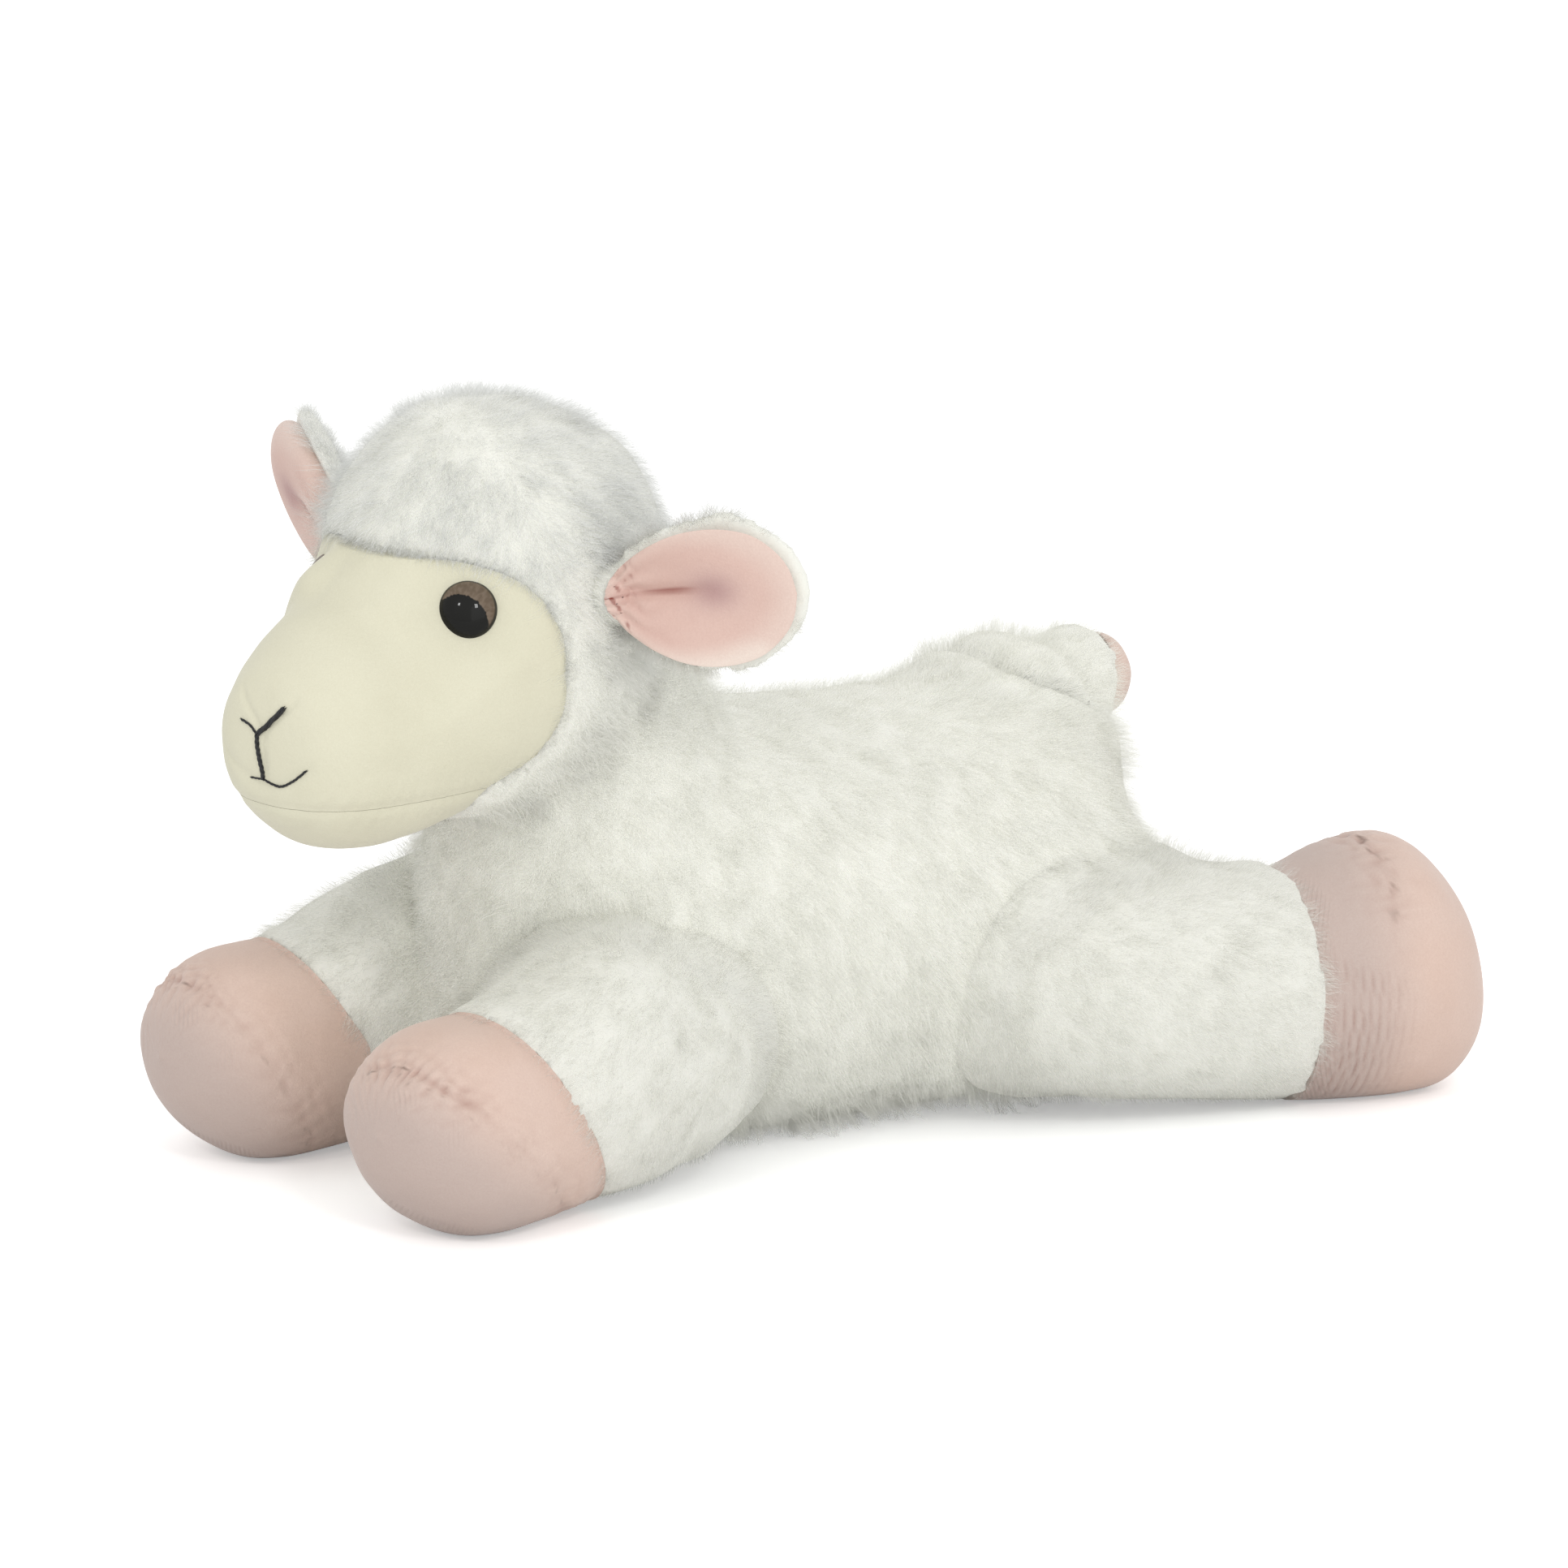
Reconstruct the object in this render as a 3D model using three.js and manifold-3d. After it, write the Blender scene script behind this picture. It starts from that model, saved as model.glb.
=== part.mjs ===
import * as THREE from "three";
import { mergeVertices } from "three/addons/utils/BufferGeometryUtils.js";
import Module from "manifold-3d";

const wasm = await Module();
wasm.setup();

// A stuffed toy lamb that lies on its belly, in millimetres with +Z up. It faces -X and its left side is -Y.
// The origin is on the ground under the middle of the body. Forms are measured over half the pile's depth.

// Fabric, seams and clearances
const skin = 2;
const seamGap = 0.32;
const fillGap = 0.4;
const runGap = 1.5;
const pocketGap = 0.45;
const soleDepth = 0.5;
const overrun = 6;
const mergeReach = 0.0001;

// Body
const bodyFront = 62;
const bodyRear = 56.5;
const bodyHalfWidth = 27;
const bodyHeight = 69;
const neckBack = 41;
const neckRadius = 22.5;
const neckTop = 82;
const neckFoot = 18;
const beadBagLength = 44;
const beadBagWidth = 26;
const beadBagHeight = 12;
const beadBagRest = 3.2;

// Head, measured from its own middle: forward to the nose, back, up from the chin
const headReach = 22.8;
const headTurnAtRest = 12;
const headBase = 57.4;
const headFront = 46.5;
const headBack = 27;
const headHalfWidth = 26;
const headHeight = 64;
const jawSeamHeight = 9.8;
const chinBack = 11;

// Eyes: a domed button with a shank, held by a washer inside the face
const eyeForward = 18.5;
const eyeHeight = 38.3;
const eyeRadius = 4.5;
const eyeDome = 2.8;
const eyeRim = 0.7;
const eyeSeat = 0.8;
const shankRadius = 1.7;
const shankLength = 8;
const shankBarb = 0.35;
const washerRadius = 5.2;
const washerCrown = 1;
const washerThickness = 1.2;
const washerCollar = 0.9;

// Embroidered nose and mouth
const threadRadius = 0.5;
const noseHeight = 21.5;
const noseArmHeight = 26;
const noseArmSpread = 5.4;
const lipHeight = 14.5;
const lipDip = 0.8;
const lipSpread = 8.4;
const lipRise = 2.2;

// Ears
const earBack = 3.4;
const earRootShare = 0.97;
const earHeight = 38.4;
const earLength = 33;
const earHalfHeight = 12;
const earHalfThickness = 2.1;
const earCup = 4.2;
const earSweepAngle = 68.4;
const earLiftAngle = 6.4;
// The far ear flops forward, and stands higher
const farEarSweepAngle = 63;
const farEarLiftAngle = 14.5;
const farEarRollAngle = 40;
const earBall = 4.8;
const liningHalfHeight = 10.6;
const liningHalfThickness = 0.9;
const liningInset = 1.1;

// Tail
const tailBack = 42;
const tailHeight = 59;
const tailLift = 14;
const tailLength = 20;
const tailHalfWidth = 8;
const tailHalfThickness = 7.2;
const tailBall = 8.4;

// Legs: each lies flat, from a ball at the shoulder or hip to a rounded hoof. The hoof's seam leans forward,
// and its nearest point is as far from the hip as seam says
const frontLeg = {
  hipX: -45, hipY: 25, hipZ: 20.5, splay: 5, ball: 17, ballHalfWidth: 13,
  back: 8, length: 54, halfWidth: 17.5, height: 41.5, seam: 23, seamLeanAngle: 30,
};
const rearLeg = {
  hipX: 30, hipY: 27, hipZ: 21.5, splay: 12, ball: 16.5, ballHalfWidth: 13.5,
  back: 10, length: 70, halfWidth: 19, height: 42, seam: 37, seamLeanAngle: 0,
};
// The far hind leg lies further out, behind the rump
const farSplayAngle = 36;

// How far each piece turns, in degrees
const headTurnLeft = 13;
const headTurnRight = 37;
const earSwing = 25;
const tailSwing = 20;
const legRaise = 20;
const legDrop = 12;
const sweepStep = 16;

// Outlines as hand-chosen shares: place along the form, half width, top, underside, narrowing of the top
const bodyShares = [
  [0, 0, 0.44, 0.44, 0], [0.017, 0.41, 0.67, 0.2, 0], [0.068, 0.67, 0.84, 0.11, 0],
  [0.152, 0.85, 0.97, 0.055, 0], [0.287, 0.945, 1, 0.024, 0], [0.456, 0.965, 0.965, 0, 0],
  [0.624, 0.98, 0.94, 0, 0], [0.776, 1, 0.935, 0, 0], [0.886, 0.89, 0.89, 0.014, 0],
  [0.954, 0.66, 0.77, 0.11, 0], [0.987, 0.35, 0.62, 0.26, 0], [1, 0, 0.44, 0.44, 0],
];
const headShares = [
  [0, 0, 0.305, 0.305, 0], [0.018, 0.33, 0.435, 0.155, 0], [0.068, 0.5, 0.508, 0.083, 0.05],
  [0.143, 0.61, 0.577, 0.03, 0.12], [0.245, 0.69, 0.637, 0.01, 0.25], [0.354, 0.79, 0.77, 0.02, 0.35],
  [0.456, 0.92, 0.92, 0.04, 0.3], [0.578, 1, 1, 0.07, 0.15], [0.741, 0.98, 0.985, 0.15, 0.1],
  [0.891, 0.79, 0.92, 0.28, 0.05], [0.966, 0.5, 0.81, 0.43, 0], [1, 0, 0.65, 0.65, 0],
];
const frontLegShares = [
  [0, 0, 0.5, 0.5, 0], [0.032, 0.45, 0.72, 0.25, 0], [0.129, 0.75, 0.92, 0.09, 0],
  [0.29, 0.86, 1, 0.06, 0], [0.452, 0.91, 0.93, 0.03, 0], [0.565, 0.9, 0.83, 0.01, 0],
  [0.694, 0.97, 0.81, 0, 0], [0.806, 0.99, 0.785, 0.03, 0], [0.9, 0.84, 0.715, 0.13, 0],
  [0.968, 0.5, 0.6, 0.265, 0], [1, 0, 0.43, 0.43, 0],
];
const rearLegShares = [
  [0, 0, 0.5, 0.5, 0], [0.037, 0.5, 0.71, 0.25, 0], [0.125, 0.79, 0.87, 0.13, 0],
  [0.3, 0.95, 0.905, 0.09, 0], [0.475, 0.95, 0.88, 0.045, 0], [0.6, 0.92, 0.88, 0.012, 0],
  [0.712, 1, 0.95, 0, 0], [0.825, 1, 0.965, 0, 0], [0.912, 0.83, 0.835, 0.03, 0],
  [0.975, 0.5, 0.62, 0.17, 0], [1, 0, 0.42, 0.42, 0],
];
// The neck as shares of its radius and of its rise above the foot
const neckShares = [
  [0, 0], [0.55, 0.02], [0.82, 0.13], [0.97, 0.35], [1, 0.55], [0.96, 0.73], [0.82, 0.88], [0.5, 0.97],
  [0, 1],
];
// A gathered leaf: place along it, half width, thickness and how far its edges curl
const leafShares = [
  [0, 0, 0, 1], [0.04, 0.34, 0.8, 1], [0.2, 0.68, 1, 0.95], [0.4, 0.93, 1, 0.7], [0.6, 1, 1, 0.45],
  [0.78, 0.9, 0.95, 0.3], [0.9, 0.65, 0.8, 0.2], [0.97, 0.36, 0.55, 0.1], [1, 0, 0, 0],
];
// The tail is a stubby lobe, fuller than the ear at its root
const tailShares = [
  [0, 0, 0, 0], [0.05, 0.6, 0.66, 0], [0.25, 0.94, 0.96, 0], [0.5, 1, 1, 0], [0.75, 0.92, 0.9, 0],
  [0.92, 0.58, 0.58, 0], [1, 0, 0, 0],
];
// Where the pink end of the tail starts, under it and over it, as shares of its length
const tailSeamShares = [0.34, 0.72];
// The edge of the face, from jaw to cheek to brow, as shares of the head's front reach and height
const faceEdgeShares = [
  [0.312, 0.153], [0.16, 0.21], [0.105, 0.3], [0.125, 0.43], [0.165, 0.56], [0.245, 0.655], [0.38, 0.705],
  [0.62, 0.735],
];
// The rounded cap of the eye as shares of its radius and dome
const domeShares = [[1, 0], [0.96, 0.27], [0.84, 0.54], [0.62, 0.79], [0.34, 0.94], [0, 1]];

// Fineness of the lofts and turned pieces, as counts
const bodySteps = 17;
const bodySides = 20;
const coarseSteps = 12;
const coarseSides = 12;
const liningSteps = 7;
const liningSides = 10;
const legSteps = 12;
const legSides = 14;
const leafSteps = 10;
const leafSides = 10;
const ballSides = 16;
const ballBands = 6;
const turnedSides = 12;
const neckSides = 24;
const threadSides = 6;
const threadSteps = 7;
const edgeSteps = 3;
const fullness = 2.12;

const left = -1;
const right = 1;
const up = new THREE.Vector3(0, 0, 1);
const acrossLegs = new THREE.Vector3(0, -1, 0);

// Finishes
const finish = (colour, roughness) => new THREE.MeshStandardMaterial({
  color: colour, roughness, metalness: 0,
});
const wool = finish("#e9e9e1", 1);
const faceFabric = finish("#e6e2cd", 0.9);
const pinkFabric = finish("#dfc6bb", 0.85);
const earFabric = finish("#dcbdb0", 0.85);
const eyeGloss = finish("#231a13", 0.08);
const thread = finish("#17181a", 0.6);
const washerPlastic = finish("#e8e6df", 0.5);
const fibre = finish("#f4f4f2", 1);
const beadCloth = finish("#d8d5cc", 0.9);

// Joining and cutting closed shapes
function toSolid(shape) {
  const bare = new THREE.BufferGeometry();
  bare.setAttribute("position", shape.getAttribute("position").clone());
  if (shape.index) bare.setIndex(shape.index.clone());
  const merged = mergeVertices(bare, mergeReach);
  const corners = merged.index.array;
  const kept = [];
  for (let i = 0; i < corners.length; i += 3) {
    const [a, b, c] = [corners[i], corners[i + 1], corners[i + 2]];
    if (a !== b && b !== c && c !== a) kept.push(a, b, c);
  }
  return new wasm.Manifold(new wasm.Mesh({
    numProp: 3,
    vertProperties: new Float32Array(merged.getAttribute("position").array),
    triVerts: new Uint32Array(kept),
  }));
}

function toShape(solid) {
  const mesh = solid.getMesh();
  const shape = new THREE.BufferGeometry();
  shape.setAttribute("position", new THREE.BufferAttribute(new Float32Array(mesh.vertProperties), 3));
  shape.setIndex(new THREE.BufferAttribute(new Uint32Array(mesh.triVerts), 1));
  return shape;
}

const joined = (...shapes) => toShape(shapes.map(toSolid).reduce((whole, solid) => whole.add(solid)));
const cut = (shape, ...tools) => toShape(
  tools.map(toSolid).reduce((whole, solid) => whole.subtract(solid), toSolid(shape)),
);
const common = (shape, other) => toShape(toSolid(shape).intersect(toSolid(other)));

// The largest body of a cut shape: what a cut leaves loose is trimmed away
function mainBody(shape) {
  const bodies = toSolid(shape).decompose();
  return toShape(bodies.reduce((best, body) => (body.volume() > best.volume() ? body : best)));
}

const placed = (shape, matrix) => shape.clone().applyMatrix4(matrix);
const inFrameOf = (shape, group) => placed(shape, group.matrixWorld.clone().invert());

function turned(shape, centre, axis, degrees) {
  const turn = new THREE.Matrix4().makeRotationAxis(axis, THREE.MathUtils.degToRad(degrees));
  const back = new THREE.Matrix4().makeTranslation(centre.x, centre.y, centre.z);
  const there = new THREE.Matrix4().makeTranslation(-centre.x, -centre.y, -centre.z);
  return placed(shape, back.multiply(turn).multiply(there));
}

// What a neighbour sweeps, seen from a piece that turns between two angles
function sweptPast(shape, centre, axis, least, most) {
  const turns = Math.ceil((most - least) / sweepStep);
  const copies = [];
  for (let i = 0; i <= turns; i += 1) {
    copies.push(turned(shape, centre, axis, -(least + ((most - least) * i) / turns)));
  }
  return joined(...copies);
}

// A smooth form moved out along its own surface, or in where the distance is negative
function grown(shape, distance) {
  const moved = shape.clone();
  moved.computeVertexNormals();
  const place = moved.getAttribute("position");
  const out = moved.getAttribute("normal");
  for (let i = 0; i < place.count; i += 1) {
    const point = new THREE.Vector3().fromBufferAttribute(place, i);
    const way = new THREE.Vector3().fromBufferAttribute(out, i);
    point.addScaledVector(way, distance);
    place.setXYZ(i, point.x, point.y, point.z);
  }
  moved.deleteAttribute("normal");
  return moved;
}

// Lofts
function rowAt(rows, share) {
  const place = share * (rows.length - 1);
  const start = Math.min(Math.floor(place), rows.length - 2);
  const t = place - start;
  const [a, b, c, d] = [start - 1, start, start + 1, start + 2].map(
    (i) => rows[Math.min(Math.max(i, 0), rows.length - 1)],
  );
  return b.map((value, k) => {
    const rise = (c[k] - a[k]) / 2;
    const fall = (d[k] - b[k]) / 2;
    const step = c[k] - value;
    return value + t * (rise + t * (3 * step - 2 * rise - fall + t * (rise + fall - 2 * step)));
  });
}

// Rings of points joined into one closed skin, with its first and last ring drawn to a point
function closedLoft(rings) {
  const sides = rings[0].length;
  const points = [rings[0][0], ...rings.slice(1, -1).flat(), rings.at(-1)[0]];
  const last = points.length - 1;
  const at = (ring, side) => 1 + ring * sides + (side % sides);
  const faces = [];
  for (let side = 0; side < sides; side += 1) {
    faces.push(0, at(0, side), at(0, side + 1));
    for (let ring = 0; ring < rings.length - 3; ring += 1) {
      const [a, b] = [at(ring, side), at(ring, side + 1)];
      const [c, d] = [at(ring + 1, side), at(ring + 1, side + 1)];
      faces.push(a, c, b, b, c, d);
    }
    faces.push(last, at(rings.length - 3, side + 1), at(rings.length - 3, side));
  }
  const shape = new THREE.BufferGeometry().setFromPoints(points);
  shape.setIndex(faces);
  return facingOut(shape);
}

function facingOut(shape) {
  const place = shape.getAttribute("position");
  const corners = shape.index.array;
  const [a, b, c] = [new THREE.Vector3(), new THREE.Vector3(), new THREE.Vector3()];
  let volume = 0;
  for (let i = 0; i < corners.length; i += 3) {
    a.fromBufferAttribute(place, corners[i]);
    b.fromBufferAttribute(place, corners[i + 1]);
    c.fromBufferAttribute(place, corners[i + 2]);
    volume += a.dot(b.cross(c));
  }
  if (volume < 0) corners.reverse();
  return shape;
}

const rounded = (value) => Math.sign(value) * Math.abs(value) ** (2 / fullness);

// A stuffed form along X from a table of shares
function stuffedForm({ start, length, halfWidth, base, height, shares, steps, sides }) {
  const rings = [];
  for (let i = 0; i <= steps; i += 1) {
    const [along, half, top, under, narrowing] = rowAt(shares, i / steps);
    const ring = [];
    for (let j = 0; j < sides; j += 1) {
      const angle = (2 * Math.PI * j) / sides;
      const taper = 1 - narrowing * Math.max(Math.sin(angle), 0);
      const across = Math.max(half, 0) * halfWidth * taper * rounded(Math.cos(angle));
      const middle = (top + under) / 2;
      const rise = ((top - under) / 2) * rounded(Math.sin(angle));
      ring.push(new THREE.Vector3(start + along * length, across, base + (middle + rise) * height));
    }
    rings.push(ring);
  }
  return closedLoft(rings);
}

// A leaf along X that stands up in Z, with its front towards the given side and its edges curled to the front
function leaf({ start, length, halfWidth, halfThickness, curl, front, ahead, shares }) {
  const rings = [];
  for (let i = 0; i <= leafSteps; i += 1) {
    const [along, half, thick, curled] = rowAt(shares, i / leafSteps);
    const ring = [];
    for (let j = 0; j < leafSides; j += 1) {
      const angle = (2 * Math.PI * j) / leafSides;
      const height = Math.cos(angle) * half;
      const depth = ahead + halfThickness * thick * Math.sin(angle) + curl * curled * height ** 2;
      ring.push(new THREE.Vector3(start + along * length, front * depth, height * halfWidth));
    }
    rings.push(ring);
  }
  return closedLoft(rings);
}

// A ball squeezed along one axis, turned about Y
function ball(radius, halfWidth = radius) {
  const shape = new THREE.SphereGeometry(1, ballSides, ballBands);
  shape.scale(radius, halfWidth, radius);
  return shape;
}

function revolved(profile, sides = turnedSides) {
  return new THREE.LatheGeometry(profile.map(([radius, rise]) => new THREE.Vector2(radius, rise)), sides);
}

function below(height) {
  const reach = 4 * (bodyFront + bodyRear);
  return new THREE.BoxGeometry(reach, reach, reach).translate(0, 0, height - reach / 2);
}

// One shape held between two planes across a leg, which lean forward about its hip
function between(shape, leg, least, most) {
  const reach = 2 * (rearLeg.length + rearLeg.height);
  const slab = new THREE.BoxGeometry(most - least, reach, reach).translate((least + most) / 2, 0, 0);
  const leaning = slab.rotateY(THREE.MathUtils.degToRad(leg.seamLeanAngle));
  return common(shape, leaning.translate(0, 0, leg.hipZ));
}

function add(parent, name, shape, material) {
  const mesh = new THREE.Mesh(mergeVertices(shape, mergeReach), material);
  mesh.geometry.computeVertexNormals();
  mesh.name = name;
  parent.add(mesh);
  return mesh;
}

function groupAt(parent, x, y, z) {
  const group = new THREE.Group();
  group.position.set(x, y, z);
  parent.add(group);
  return group;
}

const lamb = new THREE.Group();

// Body: one bag of pile fabric with the neck sewn in
function barrelForm(steps, sides, distance) {
  return grown(stuffedForm({
    start: -bodyFront, length: bodyFront + bodyRear, halfWidth: bodyHalfWidth,
    base: -soleDepth, height: bodyHeight, shares: bodyShares, steps, sides,
  }), distance);
}

function neckForm(distance) {
  const rise = neckTop - neckFoot;
  const profile = neckShares.map(([radius, height]) => [radius * neckRadius, neckFoot + height * rise]);
  const neck = bareOf(revolved(profile, neckSides).rotateX(Math.PI / 2).translate(-neckBack, 0, 0));
  return grown(neck, distance);
}

const bodyForm = (steps, sides, distance) => joined(barrelForm(steps, sides, distance), neckForm(distance));

function bareOf(shape) {
  return toShape(toSolid(shape));
}

// Legs
function legForm(leg, steps, sides) {
  return stuffedForm({
    start: -leg.back, length: leg.back + leg.length, halfWidth: leg.halfWidth,
    base: -soleDepth, height: leg.height, shares: leg === frontLeg ? frontLegShares : rearLegShares,
    steps, sides,
  });
}

const hipBall = (leg, distance) => ball(leg.ball + distance, leg.ballHalfWidth + distance)
  .translate(0, 0, leg.hipZ);

function legGroup(leg, side) {
  const group = groupAt(lamb, leg.hipX, side * leg.hipY, 0);
  const splay = leg === rearLeg && side === right ? farSplayAngle : leg.splay;
  const heading = leg === frontLeg ? 180 - side * splay : side * splay;
  group.rotation.z = THREE.MathUtils.degToRad(heading);
  group.updateMatrixWorld(true);
  return group;
}

function buildLeg(leg, side, prefix, ending) {
  const group = legGroup(leg, side);
  const hip = new THREE.Vector3(0, 0, leg.hipZ);
  const clearOf = (distance) => sweptPast(
    inFrameOf(barrelForm(coarseSteps, coarseSides, distance), group), hip, acrossLegs, -legDrop, legRaise,
  );
  const outer = legForm(leg, legSteps, legSides);
  const inner = grown(legForm(leg, liningSteps, liningSides), -skin);
  const core = grown(legForm(leg, liningSteps, liningSides), -skin - fillGap);
  const whole = joined(hipBall(leg, 0), cut(outer, clearOf(runGap)));
  const bodyPast = clearOf(runGap + skin);
  const hollow = joined(hipBall(leg, -skin), cut(inner, bodyPast));
  const stuffing = mainBody(joined(hipBall(leg, -skin - fillGap), cut(core, grown(bodyPast, fillGap))));
  const seamStart = leg.seam - seamGap / 2;
  const seamEnd = leg.seam + seamGap / 2;
  const bag = cut(whole, hollow, below(0));
  const sleeve = mainBody(between(bag, leg, -leg.ball - overrun, seamStart));
  const hoof = mainBody(between(bag, leg, seamEnd, leg.length + overrun));
  add(group, `${prefix}_leg_sleeve_${ending}`, sleeve, wool);
  add(group, `${prefix}_hoof_${ending}`, hoof, pinkFabric);
  add(group, `${prefix}_leg_stuffing_${ending}`, stuffing, fibre);
  return placed(hipBall(leg, pocketGap), group.matrixWorld);
}

// Tail: a stubby lobe of pile fabric with a pink lining under it
function buildTail() {
  const group = groupAt(lamb, tailBack, 0, tailHeight);
  group.rotation.set(Math.PI / 2, 0, 0);
  const lift = groupAt(group, 0, 0, 0);
  lift.rotation.z = THREE.MathUtils.degToRad(tailLift);
  lamb.updateMatrixWorld(true);
  const lobe = leaf({
    start: 0, length: tailLength, halfWidth: tailHalfWidth, halfThickness: tailHalfThickness,
    curl: 0, front: right, ahead: 0, shares: tailShares,
  });
  const body = inFrameOf(barrelForm(coarseSteps, coarseSides, runGap), lift);
  const past = sweptPast(body, new THREE.Vector3(), up, -tailSwing, tailSwing);
  const bag = cut(lobe, past);
  add(lift, "tail_cover", mainBody(cut(joined(ball(tailBall), bag), tailEnd(0))), wool);
  const lining = mainBody(cut(common(bag, tailEnd(seamGap)), ball(tailBall + seamGap)));
  add(lift, "tail_lining", lining, pinkFabric);
  return placed(ball(tailBall + pocketGap), lift.matrixWorld);
}

// The space past the tail's seam, which slants from its underside to its end
function tailEnd(gap) {
  const reach = tailHalfThickness + overrun;
  const [under, over] = tailSeamShares.map((share) => share * tailLength + gap);
  const outline = new THREE.Shape();
  outline.moveTo(under, -reach);
  outline.lineTo(tailLength + overrun, -reach);
  outline.lineTo(tailLength + overrun, reach);
  outline.lineTo(over, reach);
  outline.lineTo(over, tailHalfThickness / 2);
  outline.closePath();
  const width = 2 * (tailHalfWidth + overrun);
  const prism = new THREE.ExtrudeGeometry(outline, { depth: width, bevelEnabled: false });
  return prism.translate(0, 0, -width / 2);
}

function buildBody(pockets) {
  const outer = cut(bodyForm(bodySteps, bodySides, 0), below(0));
  const hollow = bodyForm(coarseSteps, coarseSides, -skin);
  const packing = bodyForm(coarseSteps, coarseSides, -skin - fillGap);
  const bag = (gap) => ball(1).scale(beadBagLength / 2 + gap, beadBagWidth / 2 + gap, beadBagHeight / 2 + gap)
    .translate(0, 0, beadBagRest + beadBagHeight / 2);
  const room = joined(bag(fillGap), bag(fillGap).translate(0, 0, -beadBagRest));
  const cover = mainBody(cut(outer, hollow, ...pockets));
  const filling = mainBody(cut(packing, room, ...pockets.map((pocket) => grown(bareOf(pocket), fillGap))));
  add(lamb, "body_cover", cover, wool);
  add(lamb, "body_filling", filling, fibre);
  add(lamb, "belly_bead_bag", bag(0), beadCloth);
}

// Head
function headForm(steps, sides, distance) {
  return grown(stuffedForm({
    start: -headFront, length: headFront + headBack, halfWidth: headHalfWidth,
    base: 0, height: headHeight, shares: headShares, steps, sides,
  }), distance);
}

// A prism across the head from an outline drawn in its side view: forward and up
function acrossHead(outline) {
  const width = 2 * (headHalfWidth + overrun);
  const prism = new THREE.ExtrudeGeometry(outline, {
    depth: width, curveSegments: edgeSteps, bevelEnabled: false,
  });
  const basis = new THREE.Matrix4().makeBasis(
    new THREE.Vector3(-1, 0, 0), new THREE.Vector3(0, 0, 1), new THREE.Vector3(0, 1, 0),
  );
  return prism.applyMatrix4(basis).translate(0, -width / 2, 0);
}

// The edge of the face, drawn in by a gap: upwards under the cheek and downwards over it
function facePrism(gap) {
  const cheek = faceEdgeShares.reduce((rearmost, row) => (row[0] < rearmost[0] ? row : rearmost));
  const edge = faceEdgeShares.map(([forward, rise]) => new THREE.Vector2(
    forward * headFront + gap, rise * headHeight + (rise < cheek[1] ? gap : -gap),
  ));
  const front = headFront + overrun;
  const outline = new THREE.Shape();
  outline.moveTo(front, jawSeamHeight + gap);
  outline.lineTo(edge[0].x, jawSeamHeight + gap);
  outline.splineThru(edge.slice(1));
  outline.lineTo(front, edge.at(-1).y);
  outline.closePath();
  return acrossHead(outline);
}

function chinPrism(gap) {
  const front = headFront + overrun;
  const jawBack = faceEdgeShares[0][0] * headFront;
  const outline = new THREE.Shape();
  outline.moveTo(front, -overrun);
  outline.lineTo(front, jawSeamHeight - gap);
  outline.lineTo(jawBack + gap, jawSeamHeight - gap);
  outline.lineTo(chinBack + gap, 0);
  outline.lineTo(chinBack + gap, -overrun);
  outline.closePath();
  return acrossHead(outline);
}

// Where a ray meets a shape, with the way its surface faces there
function surfaceAt(shape, from, way) {
  const mesh = new THREE.Mesh(shape);
  const [hit] = new THREE.Raycaster(from, way).intersectObject(mesh);
  return { point: hit.point, normal: hit.face.normal.clone() };
}

// Eyes
function eyeShape() {
  const tip = -shankLength;
  const dome = domeShares.map(([radius, rise]) => [radius * eyeRadius, eyeRim + rise * eyeDome]);
  return bareOf(revolved([
    [0, tip], [shankRadius, tip], [shankRadius + shankBarb, tip + shankBarb],
    [shankRadius, tip + 3 * shankBarb], [shankRadius, 0], [eyeRadius, 0], ...dome,
  ]));
}

// A short round bar along Y between two places
const stub = (radius, least, most) => new THREE.CylinderGeometry(radius, radius, most - least, turnedSides)
  .translate(0, (least + most) / 2, 0);

// The hole for the shank, and the shallow seat that the eye's rim presses into the fabric
const eyeHole = () => joined(
  stub(shankRadius + shankBarb + seamGap, -shankLength - overrun, overrun),
  stub(eyeRadius + seamGap, -seamGap, overrun),
);

function washerShape() {
  const bore = shankRadius + shankBarb + seamGap;
  const collar = bore + washerCollar;
  const face = -skin - fillGap - washerCrown;
  const back = face - washerThickness;
  const end = back - washerCollar;
  return bareOf(revolved([
    [bore, end], [collar, end], [collar, back], [washerRadius, back], [washerRadius, face], [bore, face],
    [bore, end],
  ]));
}

function eyeFrame(head, side) {
  const from = new THREE.Vector3(-eyeForward, side * headBack * 2, eyeHeight);
  const inward = new THREE.Vector3(0, -side, 0);
  const { point, normal } = surfaceAt(headForm(bodySteps, bodySides, 0), from, inward);
  const group = groupAt(head, point.x, point.y, point.z);
  group.quaternion.setFromUnitVectors(new THREE.Vector3(0, 1, 0), normal);
  const seat = groupAt(group, 0, -eyeSeat, 0);
  seat.updateWorldMatrix(true, false);
  return seat;
}

// Embroidery laid on the muzzle, from places across it and up from the chin
function laidThread(face, places) {
  const points = places.map(([across, height]) => {
    const from = new THREE.Vector3(-2 * headFront, across, height);
    const { point, normal } = surfaceAt(face, from, new THREE.Vector3(1, 0, 0));
    return point.addScaledVector(normal, threadRadius + seamGap);
  });
  const section = new THREE.Shape();
  section.absarc(0, 0, threadRadius, 0, 2 * Math.PI);
  return new THREE.ExtrudeGeometry(section, {
    extrudePath: new THREE.CatmullRomCurve3(points), steps: threadSteps, curveSegments: threadSides / 2,
    bevelEnabled: false,
  });
}

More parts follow.
